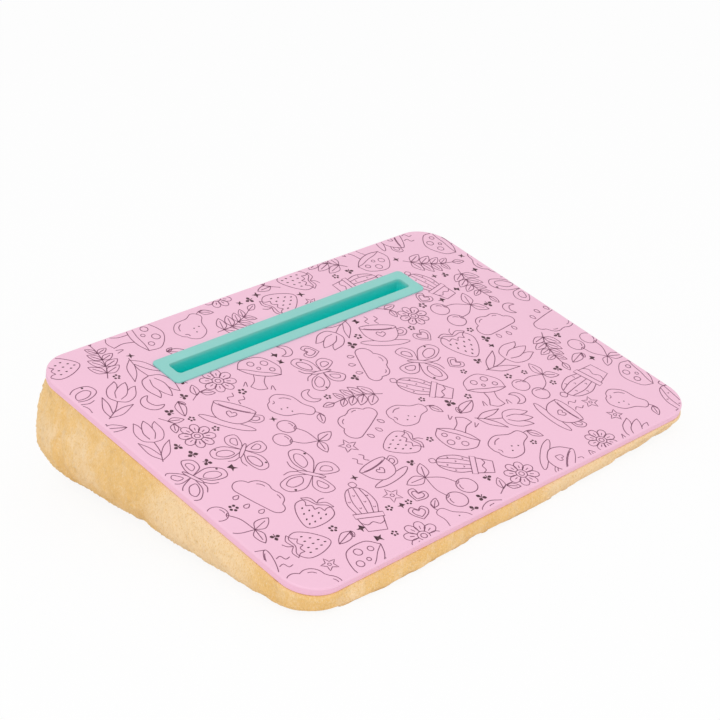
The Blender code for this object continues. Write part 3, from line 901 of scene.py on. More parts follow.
def mushroom():
    lines = [
        balanced((-17, 3), (-15, 14), (0, 22.5)),
        balanced((-17, 3), (-9, -0.8), (0, -2)),
        balanced((-17, 3), (-9, 3.6), (0, 3.0)),
        circle(-7, 12, 2.8), circle(3.5, 15.5, 3.0), circle(10, 8.5, 2.2), circle(-0.5, 7.6, 1.6),
        balanced((-6.5, -18), (0, -20.5)),
        through((-12, -18.5), (-10.5, -12.5), (-9, -18.3)),
        through((9, -18.3), (10, -13), (12.5, -18.6)),
    ]
    lines += both_sides(through((-4.6, -1.4), (-3.8, -10), (-6.5, -18)))
    return lines, []


def butterfly():
    lines = [oval((0, 0), 1.7, 9.5)]
    lines += both_sides(
        through((1.5, 3), (7, 13), (18, 18), (23, 11), (16, 1.5), (2, -1)),
        through((2, -1), (13, -3), (16.5, -11), (10, -17), (3.5, -10), (1.4, -4)),
        through((5, 6), (10, 12.5), (17, 14), (17.5, 9), (11, 4.2), closed=True),
        through((5.5, -5), (11, -6), (12, -11), (8.2, -12.5), closed=True),
        through((0.6, 9.4), (3, 14.5), (7.5, 17.5)),
    )
    return lines, [circle(-20, 7.5, 1.0), circle(20, 7.5, 1.0)]


def cloud():
    drop = balanced((0, 3.4), (-1.9, -0.4), (0, -2.6), closed=True)
    outline = (
        arc((-14, -1), 7.5, 7.5, 268, 92) + arc((-4.5, 5.5), 9.5, 9.5, 158, 48)
        + arc((8.5, 4), 8.5, 8.5, 108, 8) + arc((16, -2.5), 6.5, 6, 75, -92)
    )
    lines = [
        outline + [(1, -8.8), None],
        arc((-4.5, 5.5), 6, 6, 140, 75),
        arc((9, 4.5), 5, 5, 95, 40),
    ]
    for foot in ((-11, -14), (0, -16.5), (11, -14)):
        lines += placed([drop], centre=foot)
    return lines, []


def pear():
    lines = [
        balanced(
            (0, 14), (4.6, 12), (6.4, 4), (12.5, -6), (10.5, -17), (3.5, -20.5), (0, -19.6),
            closed=True,
        ),
        through((0, 14), (0.6, 18), (2.6, 21.5)),
        through((-8.6, -5), (-8.8, -10), (-6.6, -14)),
        balanced((-2, -17.2), (0, -16)),
    ]
    lines += placed(leaf(12, 6), -68, (1.0, 17.4))
    return lines, [circle(2.4, -6, 0.7), circle(5.4, -2, 0.7), circle(5.6, -10, 0.7)]


def strawberry():
    lines = [
        balanced((0, -18), (-9.5, -9), (-14, 3.5), (-8.5, 11), (0, 9), closed=True),
        through((0, 11), (0.6, 15), (3.4, 18)),
    ]
    lines += both_sides(
        through((0, 10.5), (-6, 14), (-12, 11.5)),
        through((-12, 11.5), (-8, 8.5), (-6.8, 4.6)),
        through((-6.8, 4.6), (-2.8, 6.6), (0, 3.2)),
    )
    seeds = (
        (-8.5, 1), (-3.4, 0.6), (3.4, 0.6), (8.5, 1), (-6, -4.6), (0, -4.4), (6, -4.6),
        (-3, -9.6), (3, -9.6), (0, -13.6),
    )
    return lines, [oval(seed, 0.65, 1.15) for seed in seeds]


def cactus():
    lines = [
        [(-11, -6), (0, -6), (11, -6), (10.6, -10.5), (0, -10.5), (-10.6, -10.5), None],
        [(-9.4, -10.5), (-8.2, -17), (-7, -24), (0, -24), (7, -24), (8.2, -17), (9.4, -10.5)],
        balanced((-8, -6), (-10.5, 5), (-7, 17), (0, 21)),
        through((0, 21), (0.2, 8), (0, -6)),
        balanced((-8.8, -15), (-4.5, -17.5), (0, -15)),
    ]
    lines += both_sides(through((-4, 19.5), (-6, 7), (-4.4, -6)))
    for foot in ((-2.6, 12), (2.8, 5), (-2.8, -1), (6.8, 11), (-8.2, 6), (7.4, -1)):
        lines += placed([[(-0.9, 1.1), (0, 0), (0.9, 1.1)]], centre=foot)
    bloom = balanced((0, 0), (-3, 3.2), (0, 6), closed=True)
    return lines + placed([bloom], -20, (0, 21)), []


def teacup():
    lines = [
        oval((0, 6), 15, 3.4),
        arc((0, 5.2), 11.5, 1.8, 188, 352),
        balanced((-15, 6), (-13.5, -4), (-8, -11), (0, -12.5)),
        through((14.6, 3), (20, 4.5), (22, 0), (18.5, -5), (12.6, -5.5)),
        through((14.2, 0.6), (17.6, 2), (19.2, -0.2), (17, -3), (13.4, -3.2)),
        balanced((-8.5, -11), (-17, -11.5), (-20, -13.5), (-12, -17), (0, -18)),
        through((-5, 11), (-7.4, 14.5), (-4, 17.5), (-6, 21)),
        through((3, 11), (0.6, 14.5), (4, 17.5), (2, 21)),
    ]
    return lines + placed([heart_line()], centre=(0, -3), size=0.55), []


def cherries():
    lines = [
        circle(-9, -11, 7.6), circle(9, -13, 7.6),
        arc((-9, -11), 5, 5, 110, 170), arc((9, -13), 5, 5, 110, 170),
        through((-9, -4.6), (-6, 5), (3, 15)), through((9, -6.6), (9, 4), (3, 15)),
        through((-11.4, -4.4), (-9, -5.2), (-6.6, -4.4)),
        through((6.6, -6.4), (9, -7.2), (11.4, -6.4)),
    ]
    return lines + placed(leaf(17, 9), 58, (3, 15)) + placed(leaf(15, 8), -60, (3, 15)), []


def heart_line():
    half = through((0, -6.2), (-5.2, -1.6), (-6.6, 2.6), (-3.6, 5.6), (0, 2.6))
    return half[:-1] + mirrored(half)[:0:-1] + [None]


def star_line(points=5, inner=0.45, size=8.0):
    spikes = []
    for index in range(points * 2):
        reach = size if index % 2 == 0 else size * inner
        angle = math.pi * index / points + math.pi / 2
        spikes.append((reach * math.cos(angle), reach * math.sin(angle)))
    line = []
    for here, there in zip(spikes, spikes[1:] + spikes[:1]):
        line += [here, ((here[0] + there[0]) / 2, (here[1] + there[1]) / 2)]
    return line + [None]


def heart():
    return placed([heart_line()], size=1.35) + placed([heart_line()], size=0.85), []


def star():
    return [star_line(), circle(0, 0, 1.6)], []


def moon():
    inner = through((4.5, -7.8), (-1.4, -3.6), (-1.4, 3.6), (4.5, 7.8))[1:-1]
    return [arc((0, 0), 9, 9, 60, 300) + inner + [None]], []


def bud():
    return placed(leaf(22, 10, 1.0), centre=(0, -12)) + placed(leaf(8, 4), 50, (0, -12)), []


def solid_blossom():
    return [], placed_round([circle(0, 2.5, 1.25)], 5)


def solid_sparkle():
    return [], [star_line(4, 0.34, 3.9)]


def solid_clover():
    blade = balanced((0, 0.4), (-1.7, 2.6), (0, 4.6), closed=True)
    blades = [placed([blade], angle)[0] for angle in (0, 105, -105)]
    return [], blades + [[(-0.35, 0), (-0.3, -3.6), (0.5, -3.9), (0.35, 0), None]]


MAIN_MOTIFS = (
    daisy, tulip, sprig, mushroom, butterfly, cloud, pear, strawberry, cactus, teacup, cherries
)
SMALL_MOTIFS = (heart, star, moon, bud)
ACCENTS = (solid_blossom, solid_sparkle, solid_clover)


def footprint(lines, solids):
    """Points that fill a drawing, row by row, a sample step apart."""
    rows = {}
    for x, y in (point for line in lines + solids for point in line if point):
        row = round(y / SAMPLE_STEP)
        low, high = rows.get(row, (x, x))
        rows[row] = (min(low, x), max(high, x))
    samples = []
    for row, (low, high) in sorted(rows.items()):
        steps = max(1, math.ceil((high - low) / SAMPLE_STEP))
        for step in range(steps + 1):
            samples.append((low + (high - low) * step / steps, row * SAMPLE_STEP))
    return np.array(samples)


def turned(points, angle, size, centre):
    cos, sin = math.cos(angle) * size, math.sin(angle) * size
    return points @ np.array([[cos, sin], [-sin, cos]]) + centre


class Scatter:
    """Finds room for drawings on the face, in millimetres, each as close to others as it fits."""

    def __init__(self):
        self.half = np.array([BOARD_WIDTH, BOARD_DEPTH]) / 2 / MILLIMETRE
        counts = np.ceil(2 * (self.half + SCATTER_REACH) / SCATTER_CELL).astype(int)
        self.low = -self.half - SCATTER_REACH
        self.clear = np.full(counts, SCATTER_REACH)
        cells = np.stack(np.meshgrid(*map(np.arange, counts), indexing="ij"), -1)
        self.places = self.low + (cells + 0.5) * SCATTER_CELL
        self.random = np.random.default_rng(SCATTER_SEED)
        self.drawings = []

    def room(self, points):
        """How far each point is from what is taken."""
        cells = ((points.reshape(-1, 2) - self.low) / SCATTER_CELL).astype(int)
        cells = np.clip(cells, 0, np.array(self.clear.shape) - 1)
        return self.clear[tuple(cells.T)].reshape(points.shape[:-1])

    def take(self, points):
        """Marks a drawing's points as taken."""
        near = (abs(self.places - points.mean(0)) < SCATTER_REACH + DRAWING_REACH).all(-1)
        away = self.places[near][:, None] - points[None]
        away = np.hypot(away[..., 0], away[..., 1]).min(1)
        self.clear[near] = np.minimum(self.clear[near], away)

    def place(self, drawing, gap, tries, sizes, overhang):
        """Puts a drawing in the tightest of many tried places, or says that it has no room."""
        samples = footprint(*drawing)
        best = None
        for _ in range(tries):
            centre = self.random.uniform(-self.half - overhang, self.half + overhang)
            angle = self.random.uniform(0, 2 * math.pi)
            size = self.random.uniform(*sizes)
            if self.room(centre) < gap:
                continue
            spots = turned(samples, angle, size, centre)
            room = self.room(spots)
            if room.min() < gap:
                continue
            score = np.percentile(room, TIGHTNESS_PERCENTILE)
            if best is None or score < best[0]:
                best = (score, angle, size, centre, spots)
        if best is None:
            return False
        _, angle, size, centre, spots = best
        self.take(spots)
        angle = math.degrees(angle)
        self.drawings.append([placed(lines, angle, centre, size) for lines in drawing])
        return True

    def take_flange(self):
        """Takes the middle of the slot's flange, so that drawings run under its edges only."""
        half_length = FLANGE_LENGTH / 2 / MILLIMETRE - FLANGE_END
        middle = TRAY_Y / MILLIMETRE
        flange = np.stack(np.meshgrid(
            np.arange(-half_length, half_length + 1, SAMPLE_STEP),
            np.arange(middle - FLANGE_HALF_TAKEN, middle + FLANGE_HALF_TAKEN + 1, SAMPLE_STEP),
            indexing="ij",
        ), -1).reshape(-1, 2)
        for start in range(0, len(flange), FLANGE_BATCH):
            self.take(flange[start:start + FLANGE_BATCH])


def scatter_drawings():
    """Large drawings until none finds room, then small ones, then solid accents."""
    scatter = Scatter()
    scatter.take_flange()
    misses = 0
    turn = 0
    while misses < len(MAIN_MOTIFS):
        drawn = MAIN_MOTIFS[turn % len(MAIN_MOTIFS)]()
        misses = 0 if scatter.place(drawn, *MAIN_FIT) else misses + 1
        turn += 1
    fills = ((SMALL_MOTIFS, SMALL_COUNT, SMALL_FIT), (ACCENTS, ACCENT_COUNT, ACCENT_FIT))
    for kinds, most, fit in fills:
        for turn in range(most):
            scatter.place(kinds[turn % len(kinds)](), *fit)
    return scatter.drawings


def outside_board(x, y):
    """How far a point of the face lies outside the board's outline, negative inside it."""
    away_x = abs(x) - BOARD_WIDTH / 2 + BOARD_CORNER_RADIUS
    away_y = abs(y) - BOARD_DEPTH / 2 + BOARD_CORNER_RADIUS
    beyond = math.hypot(max(away_x, 0), max(away_y, 0))
    return beyond + min(max(away_x, away_y), 0) - BOARD_CORNER_RADIUS


def outside_flange(x, y):
    return max(abs(x) - FLANGE_LENGTH / 2, abs(y - TRAY_Y) - FLANGE_WIDTH / 2)


def printable(point):
    x, y = point
    return outside_board(x, y) < -LINE_FROM_EDGE and outside_flange(x, y) > -LINE_UNDER_FLANGE


def edge_of_print(inside, outside):
    """Where a short step off the printable face crosses its edge."""
    inside, outside = Vector(inside), Vector(outside)
    for _ in range(EDGE_HALVINGS):
        middle = (inside + outside) / 2
        if printable(middle):
            inside = middle
        else:
            outside = middle
    return tuple(inside)


def trimmed(line):
    """The stretches of a line that lie on the open face, each with whether it is closed."""
    closed = line[-1] is None
    points = [(x * MILLIMETRE, y * MILLIMETRE) for x, y in (line[:-1] if closed else line)]
    shown = [printable(point) for point in points]
    if all(shown):
        return [(points, closed)]
    if closed and any(shown):
        start = shown.index(False)
        points = points[start:] + points[:start + 1]
        shown = shown[start:] + shown[:start + 1]
    stretches = []
    current = []
    for index, point in enumerate(points):
        if shown[index]:
            if not current and index:
                current.append(edge_of_print(point, points[index - 1]))
            current.append(point)
        elif current:
            current.append(edge_of_print(points[index - 1], point))
            stretches.append(current)
            current = []
    stretches.append(current)
    return [(stretch, False) for stretch in stretches if len(stretch) > 1]


def add_stroke(body, points, closed, width):
    """A flat ribbon of ink along a line: four vertices a point, closed at its ends."""
    count = len(points)
    rings = []
    for index, (x, y) in enumerate(points):
        before = points[index - 1] if closed or index else points[0]
        after = points[(index + 1) % count] if closed or index + 1 < count else points[-1]
        along = Vector(after) - Vector(before)
        side = Vector((-along.y, along.x)).normalized() * width / 2
        corners = ((side, INK_LOW), (-side, INK_LOW), (-side, INK_HIGH), (side, INK_HIGH))
        rings.append([body.verts.new((x + off.x, y + off.y, level)) for off, level in corners])
    skin(body, rings, wrapped=closed)
    if not closed:
        close_ends(body, rings)


def add_solid(body, outline):
    """A filled patch of ink."""
    rings = [[body.verts.new((x, y, level)) for x, y in outline] for level in (INK_LOW, INK_HIGH)]
    skin(body, rings)
    bmesh.ops.triangulate(body, faces=[body.faces.new(ring) for ring in rings])


def make_print():
    """The drawings' lines and solid accents, as ink that stands just proud of the film."""
    fine = bmesh.new()
    bold = bmesh.new()
    pen = random.Random(SCATTER_SEED)
    for lines, solids in scatter_drawings():
        for line in lines:
            width = LINE_WIDTH * pen.uniform(1 - LINE_SPREAD, 1 + LINE_SPREAD)
            for points, closed in trimmed(line):
                add_stroke(fine, points, closed, width)
        for solid in solids:
            for points, closed in trimmed(solid):
                if closed:
                    add_solid(bold, points)
    plum = make_ink("plum_ink", INK_PLUM)
    brown = make_ink("brown_ink", ACCENT_BROWN)
    add_piece(finished_mesh(fine, "printed_lines"), "printed_top", plum)
    add_piece(finished_mesh(bold, "printed_accents"), "printed_top", brown)


# Slot insert


def wall_margin(depth):
    """How far the well's inner wall stands outside the mouth at a depth, drawn in by the draft."""
    return -depth * math.tan(WELL_DRAFT)


def add_lugs(body):
    """Snap lugs that ramp out of the well's outer walls and stop square under the board."""
    foot = RIM_LEVEL + LUG_HEIGHT
    root = MOUTH_WIDTH / 2 + wall_margin(foot) + WELL_WALL / 2
    wall = MOUTH_WIDTH / 2 + wall_margin(foot) + WELL_WALL
    reach = MOUTH_WIDTH / 2 + CUT_OUT_MARGIN + LUG_CATCH
    profile = (
        (root, -RIM_LEVEL),
        (reach, -RIM_LEVEL),
        (reach, -RIM_LEVEL - LUG_NOSE),
        (wall, -foot),
        (root, -foot),
    )
    first = -LUG_PITCH * (LUGS_A_SIDE - 1) / 2
    for side in (-1, 1):
        for index in range(LUGS_A_SIDE):
            ends = []
            for end in (-1, 1):
                x = first + index * LUG_PITCH + end * LUG_WIDTH / 2
                ends.append([body.verts.new((x, TRAY_Y + side * y, z)) for y, z in profile])
            skin(body, ends)
            close_ends(body, ends)


def make_slot_insert():
    """The moulded insert: a flange on the face, a rounded lip, a drafted well and snap lugs."""
    face = SEAT_GAP + FLANGE_THICKNESS
    floor_margin = wall_margin(WELL_DEPTH - WELL_FLOOR_RADIUS)
    under_margin = WELL_WALL + wall_margin(WELL_BOTTOM - WELL_FLOOR_RADIUS)
    levels = []
    for across, down in rounding(WELL_FLOOR_RADIUS, ROUND_STEPS):
        levels.append((MOUTH_PLAN, across - floor_margin, down - WELL_DEPTH))
    for down, across in rounding(MOUTH_LIP_RADIUS, ROUND_STEPS):
        levels.append((MOUTH_PLAN, -across, face - down))
    for across, down in rounding(FLANGE_EDGE_ROUND, THIN_ROUND_STEPS):
        levels.append((FLANGE_PLAN, across, face - down))
    levels.append((FLANGE_PLAN, 0.0, SEAT_GAP))
    levels.append((MOUTH_PLAN, -WELL_WALL, SEAT_GAP))
    for up, across in rounding(WELL_FLOOR_RADIUS, HIDDEN_ROUND_STEPS):
        levels.append((MOUTH_PLAN, across - under_margin, up - WELL_BOTTOM))
    body = bmesh.new()
    around = plan_stations(*SLOT_STEPS)
    rings = [
        plan_ring(body, plan, inset, height, around, TRAY_Y) for plan, inset, height in levels
    ]
    skin(body, rings)
    close_ends(body, rings)
    add_lugs(body)
    mint = make_mint_moulding(FACE_NORMAL, FACE_NORMAL.dot(BOARD.translation))
    insert = add_piece(finished_mesh(body, "slot_insert"), "mint_plastic", mint)
    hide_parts("slot_tray")


# Cushion


def side_section(height, fullness, angle):
    """Where the side is at an angle round its section, out of the rim and up, and its normal."""
    bulge = height * BULGE_SHARE * (1 + CROWN_SHARE * fullness)
    belly = height * BELLY_SHARE
    if angle > 0:
        across = bulge / (1 - math.cos(RIM_ANGLE))
        up = (height - belly) / math.sin(RIM_ANGLE)
    else:
        across = height * TUCK_SHARE
        up = belly
    place = Vector((bulge - across * (1 - math.cos(angle)), belly + up * math.sin(angle)))
    return place, Vector((up * math.cos(angle), across * math.sin(angle))).normalized()


def even_stations(width, depth, radius, across, deep):
    """Stations evenly spaced round the rim, from one corner's middle to the next on each side."""
    bend = radius * math.pi / 4
    stations = []
    for quarter in range(4):
        along, cells = (depth, deep) if quarter % 2 == 0 else (width, across)
        straight = along - 2 * radius
        for step in range(cells):
            run = (straight + 2 * bend) * step / cells
            if run < bend:
                station = quarter - 0.25 + run / bend / 4
            elif run < bend + straight:
                station = quarter + (run - bend) / straight / 2
            else:
                station = quarter + 0.5 + (run - bend - straight) / bend / 4
            stations.append(station % 4)
    return stations


class CushionSkin:
    """A closed skin round the cushion: rows up the sides, a base grid, and a top grid."""

    def __init__(self, across, deep, rows, inset=0.0):
        self.across, self.deep, self.rows = across, deep, rows
        self.depth = RIM_DEPTH * math.cos(BOARD_SLOPE)
        self.inset = inset
        self.stations = even_stations(RIM_WIDTH, self.depth, RIM_CORNER_RADIUS, across, deep)
        self.count = len(self.stations)
        rings = [list(ring) for ring in zip(*map(self.column, self.stations))]
        self.hem_start = (len(rings) - 1) * self.count
        if inset == 0:
            rim = rings[-1]
            rings += [self.drawn_in(rim, *lip) for lip in RIM_LIP]
        self.points = [point for ring in rings for point in ring]
        self.faces = []
        for lower in range(0, len(self.points) - self.count, self.count):
            upper = lower + self.count
            for index in range(self.count):
                after = (index + 1) % self.count
                self.faces.append((lower + index, lower + after, upper + after, upper + index))
        self.base_start = len(self.points)
        self.cap(rings[0], 0, flipped=True)
        self.top_start = len(self.points)
        self.cap(rings[-1], self.base_start - self.count, flipped=False)

    def column(self, station):
        """The points up the cushion's side at a station."""
        rim, fullness = outline_point(RIM_WIDTH, self.depth, RIM_CORNER_RADIUS, station)
        under = BOARD @ Vector((0, 0, -RIM_LEVEL))
        height = under.z + rim.y * math.tan(BOARD_SLOPE)
        points = []
        for step in range(self.rows + 1):
            angle = -math.pi / 2 + (math.pi / 2 + RIM_ANGLE) * (step / self.rows)
            place, normal = side_section(height, fullness, angle)
            place = place - normal * self.inset
            corner = RIM_CORNER_RADIUS + CORNER_SHARE * place.x - normal.x * self.inset
            point, _ = outline_point(
                RIM_WIDTH + 2 * place.x, self.depth + 2 * place.x, corner, station
            )
            points.append((point.x, point.y + under.y, max(place.y, self.inset)))
        return points

    def drawn_in(self, ring, inset, drop):
        """A ring moved in over the plane of the board, and down from it."""
        moved = []
        for station, point in zip(self.stations, ring):
            target, _ = outline_point(
                RIM_WIDTH - 2 * inset, RIM_DEPTH - 2 * inset, RIM_CORNER_RADIUS - inset, station
            )
            level = (BOARD.inverted() @ Vector(point)).z
            moved.append(tuple(BOARD @ Vector((target.x, target.y, level - drop))))
        return moved

    def border(self, i, j):
        """The place in a ring of a point on the border of the grid inside it."""
        if i == self.across:
            return j
        if j == self.deep:
            return self.deep + self.across - i
        return 2 * self.deep + self.across + (i if j == 0 else -j)

    def patch(self, ring):
        """A grid of points spanned inside a ring of points, by blending its four sides."""
        ring = np.asarray(ring, float)
        across, deep = range(self.across + 1), range(self.deep + 1)
        front, back = (ring[[self.border(i, j) for i in across]] for j in (0, self.deep))
        left, right = (ring[[self.border(i, j) for j in deep]] for i in (0, self.across))
        u = np.linspace(0, 1, self.across + 1)[:, None, None]
        v = np.linspace(0, 1, self.deep + 1)[None, :, None]
        corners = (
            (1 - u) * (1 - v) * front[0] + u * (1 - v) * front[-1]
            + (1 - u) * v * back[0] + u * v * back[-1]
        )
        sides = (
            (1 - v) * front[:, None] + v * back[:, None] + (1 - u) * left[None] + u * right[None]
        )
        return sides - corners

    def cap(self, ring, ring_start, flipped):
        """Adds a grid's inner points and its faces, joined to the ring round it."""
        across, deep = self.across, self.deep
        start = len(self.points)
        self.points += map(tuple, self.patch(ring)[1:-1, 1:-1].reshape(-1, 3))

        def index(i, j):
            if i in (0, across) or j in (0, deep):
                return ring_start + self.border(i, j)
            return start + (i - 1) * (deep - 1) + j - 1

        for i in range(across):
            for j in range(deep):
                face = (index(i, j), index(i + 1, j), index(i + 1, j + 1), index(i, j + 1))
                self.faces.append(face[::-1] if flipped else face)

    def mesh(self, name, points):
        mesh = bpy.data.meshes.new(name)
        mesh.from_pydata([tuple(point) for point in points], [], self.faces)
        mesh.update()
        return mesh

    def held_share(self):
        """How firmly each point is held in the filling: the hem, the top and the standing face."""
        held = np.zeros(len(self.points))
        held[self.hem_start:self.base_start] = 1
        held[self.base_start:self.top_start] = BASE_HELD
        held[self.top_start:] = 1
        return held


def eased(value, start, reach):
    """0 up to a start, and softly up to 1 at a reach further on."""
    value = np.clip((value - start) / reach, 0, 1)
    return value * value * (3 - 2 * value)


def bell(away, reach):
    """1 at a place, falling to nothing around it."""
    return np.exp(-(away / reach) ** 2)


def at_least(least, share):
    """A share from 0 to 1, spread over what lies between a least value and 1."""
    return least + (1 - least) * share


def values_of(items, attribute, width=3, kind=float):
    """An attribute of a mesh's vertices or edges, as rows of numbers."""
    values = np.empty(len(items) * width, kind)
    items.foreach_get(attribute, values)
    return values.reshape(-1, width)


def on_board(points):
    """Points in the board's own frame."""
    return (points - np.asarray(BOARD.translation)) @ np.asarray(BOARD.to_3x3())


def under_board(points):
    """How far points lie under the board."""
    return -RIM_LEVEL - on_board(points)[:, 2]


def press_trough(points, level, margin):
    """Presses the well's trough into the points of a panel that lies a level under the face."""
    local = on_board(points)
    half_length = MOUTH_LENGTH / 2 + margin
    half_width = MOUTH_WIDTH / 2 + margin
    outside = np.stack([abs(local[:, 0]) - half_length, abs(local[:, 1] - TRAY_Y) - half_width])
    away = np.hypot(*np.maximum(outside, 0))
    sunk = (WELL_BOTTOM + margin - level) * (1 - eased(away, 0.0, TROUGH_FLARE))
    return points - sunk[:, None] * np.asarray(FACE_NORMAL)[None]


def fill_cushion(piece, held):
    """Swells the cover with its filling: cloth under pressure."""
    group = piece.vertex_groups.new(name="held")
    for value in np.unique(held[held > 0]):
        group.add([int(i) for i in np.flatnonzero(held == value)], float(value), "REPLACE")
    cloth = piece.modifiers.new("filling", "CLOTH")
    for name, value in COVER_CLOTH.items():
        setattr(cloth.settings, name, value)
    cloth.settings.vertex_group_mass = group.name
    cloth.settings.effector_weights.gravity = 0
    cloth.point_cache.frame_start = 1
    cloth.point_cache.frame_end = SIM_FRAMES
    scene = bpy.context.scene
    for number in range(1, SIM_FRAMES + 1):
        scene.frame_set(number)
    filled = values_of(evaluated(piece).vertices, "co")
    piece.modifiers.remove(cloth)
    piece.vertex_groups.remove(group)
    scene.frame_set(1)
    return filled


def evaluated(piece):
    graph = bpy.context.evaluated_depsgraph_get()
    return bpy.data.meshes.new_from_object(piece.evaluated_get(graph))


def capped_move(start, end, most):
    """Points on their way from a start to an end, moved by no more than a length."""
    move = end - start
    length = np.linalg.norm(move, axis=1, keepdims=True)
    return start + move * np.minimum(1, most / np.maximum(length, 1e-9))


def off_outline(points):
    """How far points lie outside the board's outline, and which way is outwards from it."""
    local = on_board(points)[:, :2]
    half = np.array([BOARD_WIDTH, BOARD_DEPTH]) / 2 - BOARD_CORNER_RADIUS
    away = abs(local) - half
    beyond = np.maximum(away, 0)
    length = np.hypot(*beyond.T)
    distance = length + np.minimum(away.max(1), 0) - BOARD_CORNER_RADIUS
    way = np.where(length[:, None] > 0, beyond, away >= away.max(1, keepdims=True))
    way = way / np.linalg.norm(way, axis=1, keepdims=True) * np.sign(local)
    return distance, way @ np.asarray(BOARD.to_3x3())[:, :2].T


def filled_out(points, to_edge=0.0, rise=0.0):
    """Stands the sides fuller or slacker in places, and brings the rim's pile up to the band."""
    distance, outward = off_outline(points)
    under = under_board(points)
    amount = sum(
        most * bell(np.linalg.norm(points - middle, axis=1), reach)
        for middle, reach, most in FULL_PLACES
    )
    amount *= eased(distance, *FULL_BY_OUTLINE) * eased(under, *FULL_UNDER_BOARD)
    at_rim = eased(distance, *RIM_PILE_BY_OUTLINE) * (1 - eased(under, *RIM_PILE_UNDER_BOARD))
    moved = points + outward * (amount + to_edge * at_rim)[:, None]
    return moved + np.asarray(FACE_NORMAL) * (rise * at_rim)[:, None]


def finer_sides(mesh):
    """Halves the cells of the cushion's sides, which show the pile."""
    body = bmesh.new()
    body.from_mesh(mesh)
    sides = [
        face for face in body.faces if face.material_index == 0 and face.normal.z > -BASE_FACING
    ]
    edges = list({edge for face in sides for edge in face.edges})
    bmesh.ops.subdivide_edges(body, edges=edges, cuts=1, use_grid_fill=True)
    body.to_mesh(mesh)
    body.free()


def seam_depth(points):
    """How far the seams pull the cover in: round the base panel, and up the four corners."""
    x, y, z = points.T
    to_back = (y + BOARD_DEPTH / 2) / BOARD_DEPTH
    level = BASE_SEAM_FRONT + (BASE_SEAM_BACK - BASE_SEAM_FRONT) * to_back
    depth = at_least(FRONT_SEAM_SHARE, to_back) * bell(z - level, SEAM_REACH)
    at_side = abs(x) > BOARD_WIDTH / 2 - CORNER_SEAM_ZONE
    for place in CORNER_SEAMS:
        depth = np.maximum(depth, CORNER_SEAM_SHARE * bell(y - place, SEAM_REACH) * at_side)
    return SEAM_DEPTH * depth * (z > SEAM_ABOVE)


def lump_lift(points):
    """Lumps of the filling, in several sizes, slighter where the side is low."""
    lift = np.zeros(len(points))
    for count, deep in LUMPS:
        stretch = np.array((count, count, count * LUMP_STRETCH))
        lift += [deep * noise.noise(place) for place in points * stretch]
    height = np.maximum(under_board(points), 0) + points[:, 2]
    return lift * at_least(LUMPS_LEAST, eased(height, *LUMPS_BY_HEIGHT))


def fold_lift(points):
    """Folds that fan out at the two back corners."""
    lift = np.zeros(len(points))
    for side in (-1, 1):
        x, y = side * points[:, 0] - FOLD_CORNER[0], points[:, 1] - FOLD_CORNER[1]
        turn = np.arctan2(y + FOLD_SPREAD, x + FOLD_SPREAD)
        depth = FOLD_DEPTH * bell(np.hypot(x, y), FOLD_REACH)
        for count, phase, share in FOLD_WAVES:
            lift += depth * share * np.sin(turn * count + phase * side)
    return lift


def pile_lift(mesh, points):
    """Tufts of the pile, smaller where the cells are."""
    ends = values_of(mesh.edges, "vertices", 2, int)
    lengths = np.linalg.norm(points[ends[:, 0]] - points[ends[:, 1]], axis=1)
    shortest = np.ones(len(points))
    for end in ends.T:
        np.minimum.at(shortest, end, lengths)
    tufts = np.random.default_rng(PILE_SEED).normal(0, PILE_ROUGHNESS, len(points))
    return tufts * np.clip(shortest / PILE_SPACING, PILE_LEAST, 1)


def rumple(mesh):
    """Gives the filled cover its lumps, its folds at the back corners, its pile and its seams."""
    points = values_of(mesh.vertices, "co")
    normals = values_of(mesh.vertices, "normal")
    under = under_board(points)
    off_floor = eased(points[:, 2], *OFF_FLOOR)
    lift = lump_lift(points) + fold_lift(points)
    lift *= eased(under, *LUMPS_UNDER_BOARD) * at_least(LUMPS_ON_FLOOR, off_floor)
    tufts = pile_lift(mesh, points)
    tufts *= eased(under, *PILE_UNDER_BOARD) * at_least(PILE_ON_FLOOR, off_floor)
    points = points + normals * (lift + tufts - seam_depth(points))[:, None]
    points[:, 2] = np.maximum(points[:, 2], 0)
    mesh.vertices.foreach_set("co", points.ravel())
    mesh.update()


def make_plush_cushion():
    """The cushion's cover in plush, filled, with its woven top panel under the board."""
    shape = CushionSkin(CELLS_ACROSS, CELLS_DEEP, SIDE_ROWS)
    points = np.array(shape.points)
    points[shape.top_start:] = press_trough(points[shape.top_start:], PANEL_LEVEL, PANEL_MARGIN)
    draft = add_object("cushion_draft", shape.mesh("cushion_draft", points))
    points = capped_move(points, fill_cushion(draft, shape.held_share()), MOST_SWELL)
    points[:, 2] = np.maximum(points[:, 2], 0)
    draft.data.vertices.foreach_set("co", filled_out(points, PILE_TO_EDGE, PILE_RISE).ravel())
    for polygon in draft.data.polygons[-CELLS_ACROSS * CELLS_DEEP:]:
        polygon.material_index = 1
    finer = draft.modifiers.new("finer", "SUBSURF")
    finer.levels = finer.render_levels = 1
    mesh = evaluated(draft)
    bpy.data.objects.remove(draft)
    mesh.name = "plush_cushion"
    finer_sides(mesh)
    rumple(mesh)
    mesh.shade_smooth()
    cloth = make_woven_cloth("tan_weave", *WEAVE_TANS, thread=0.0007)
    cushion = add_piece(mesh, "tan_plush", make_tan_plush(), cloth)
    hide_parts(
        "cover_left", "cover_right", "cover_front", "cover_back", "cover_base", "cover_top"
    )


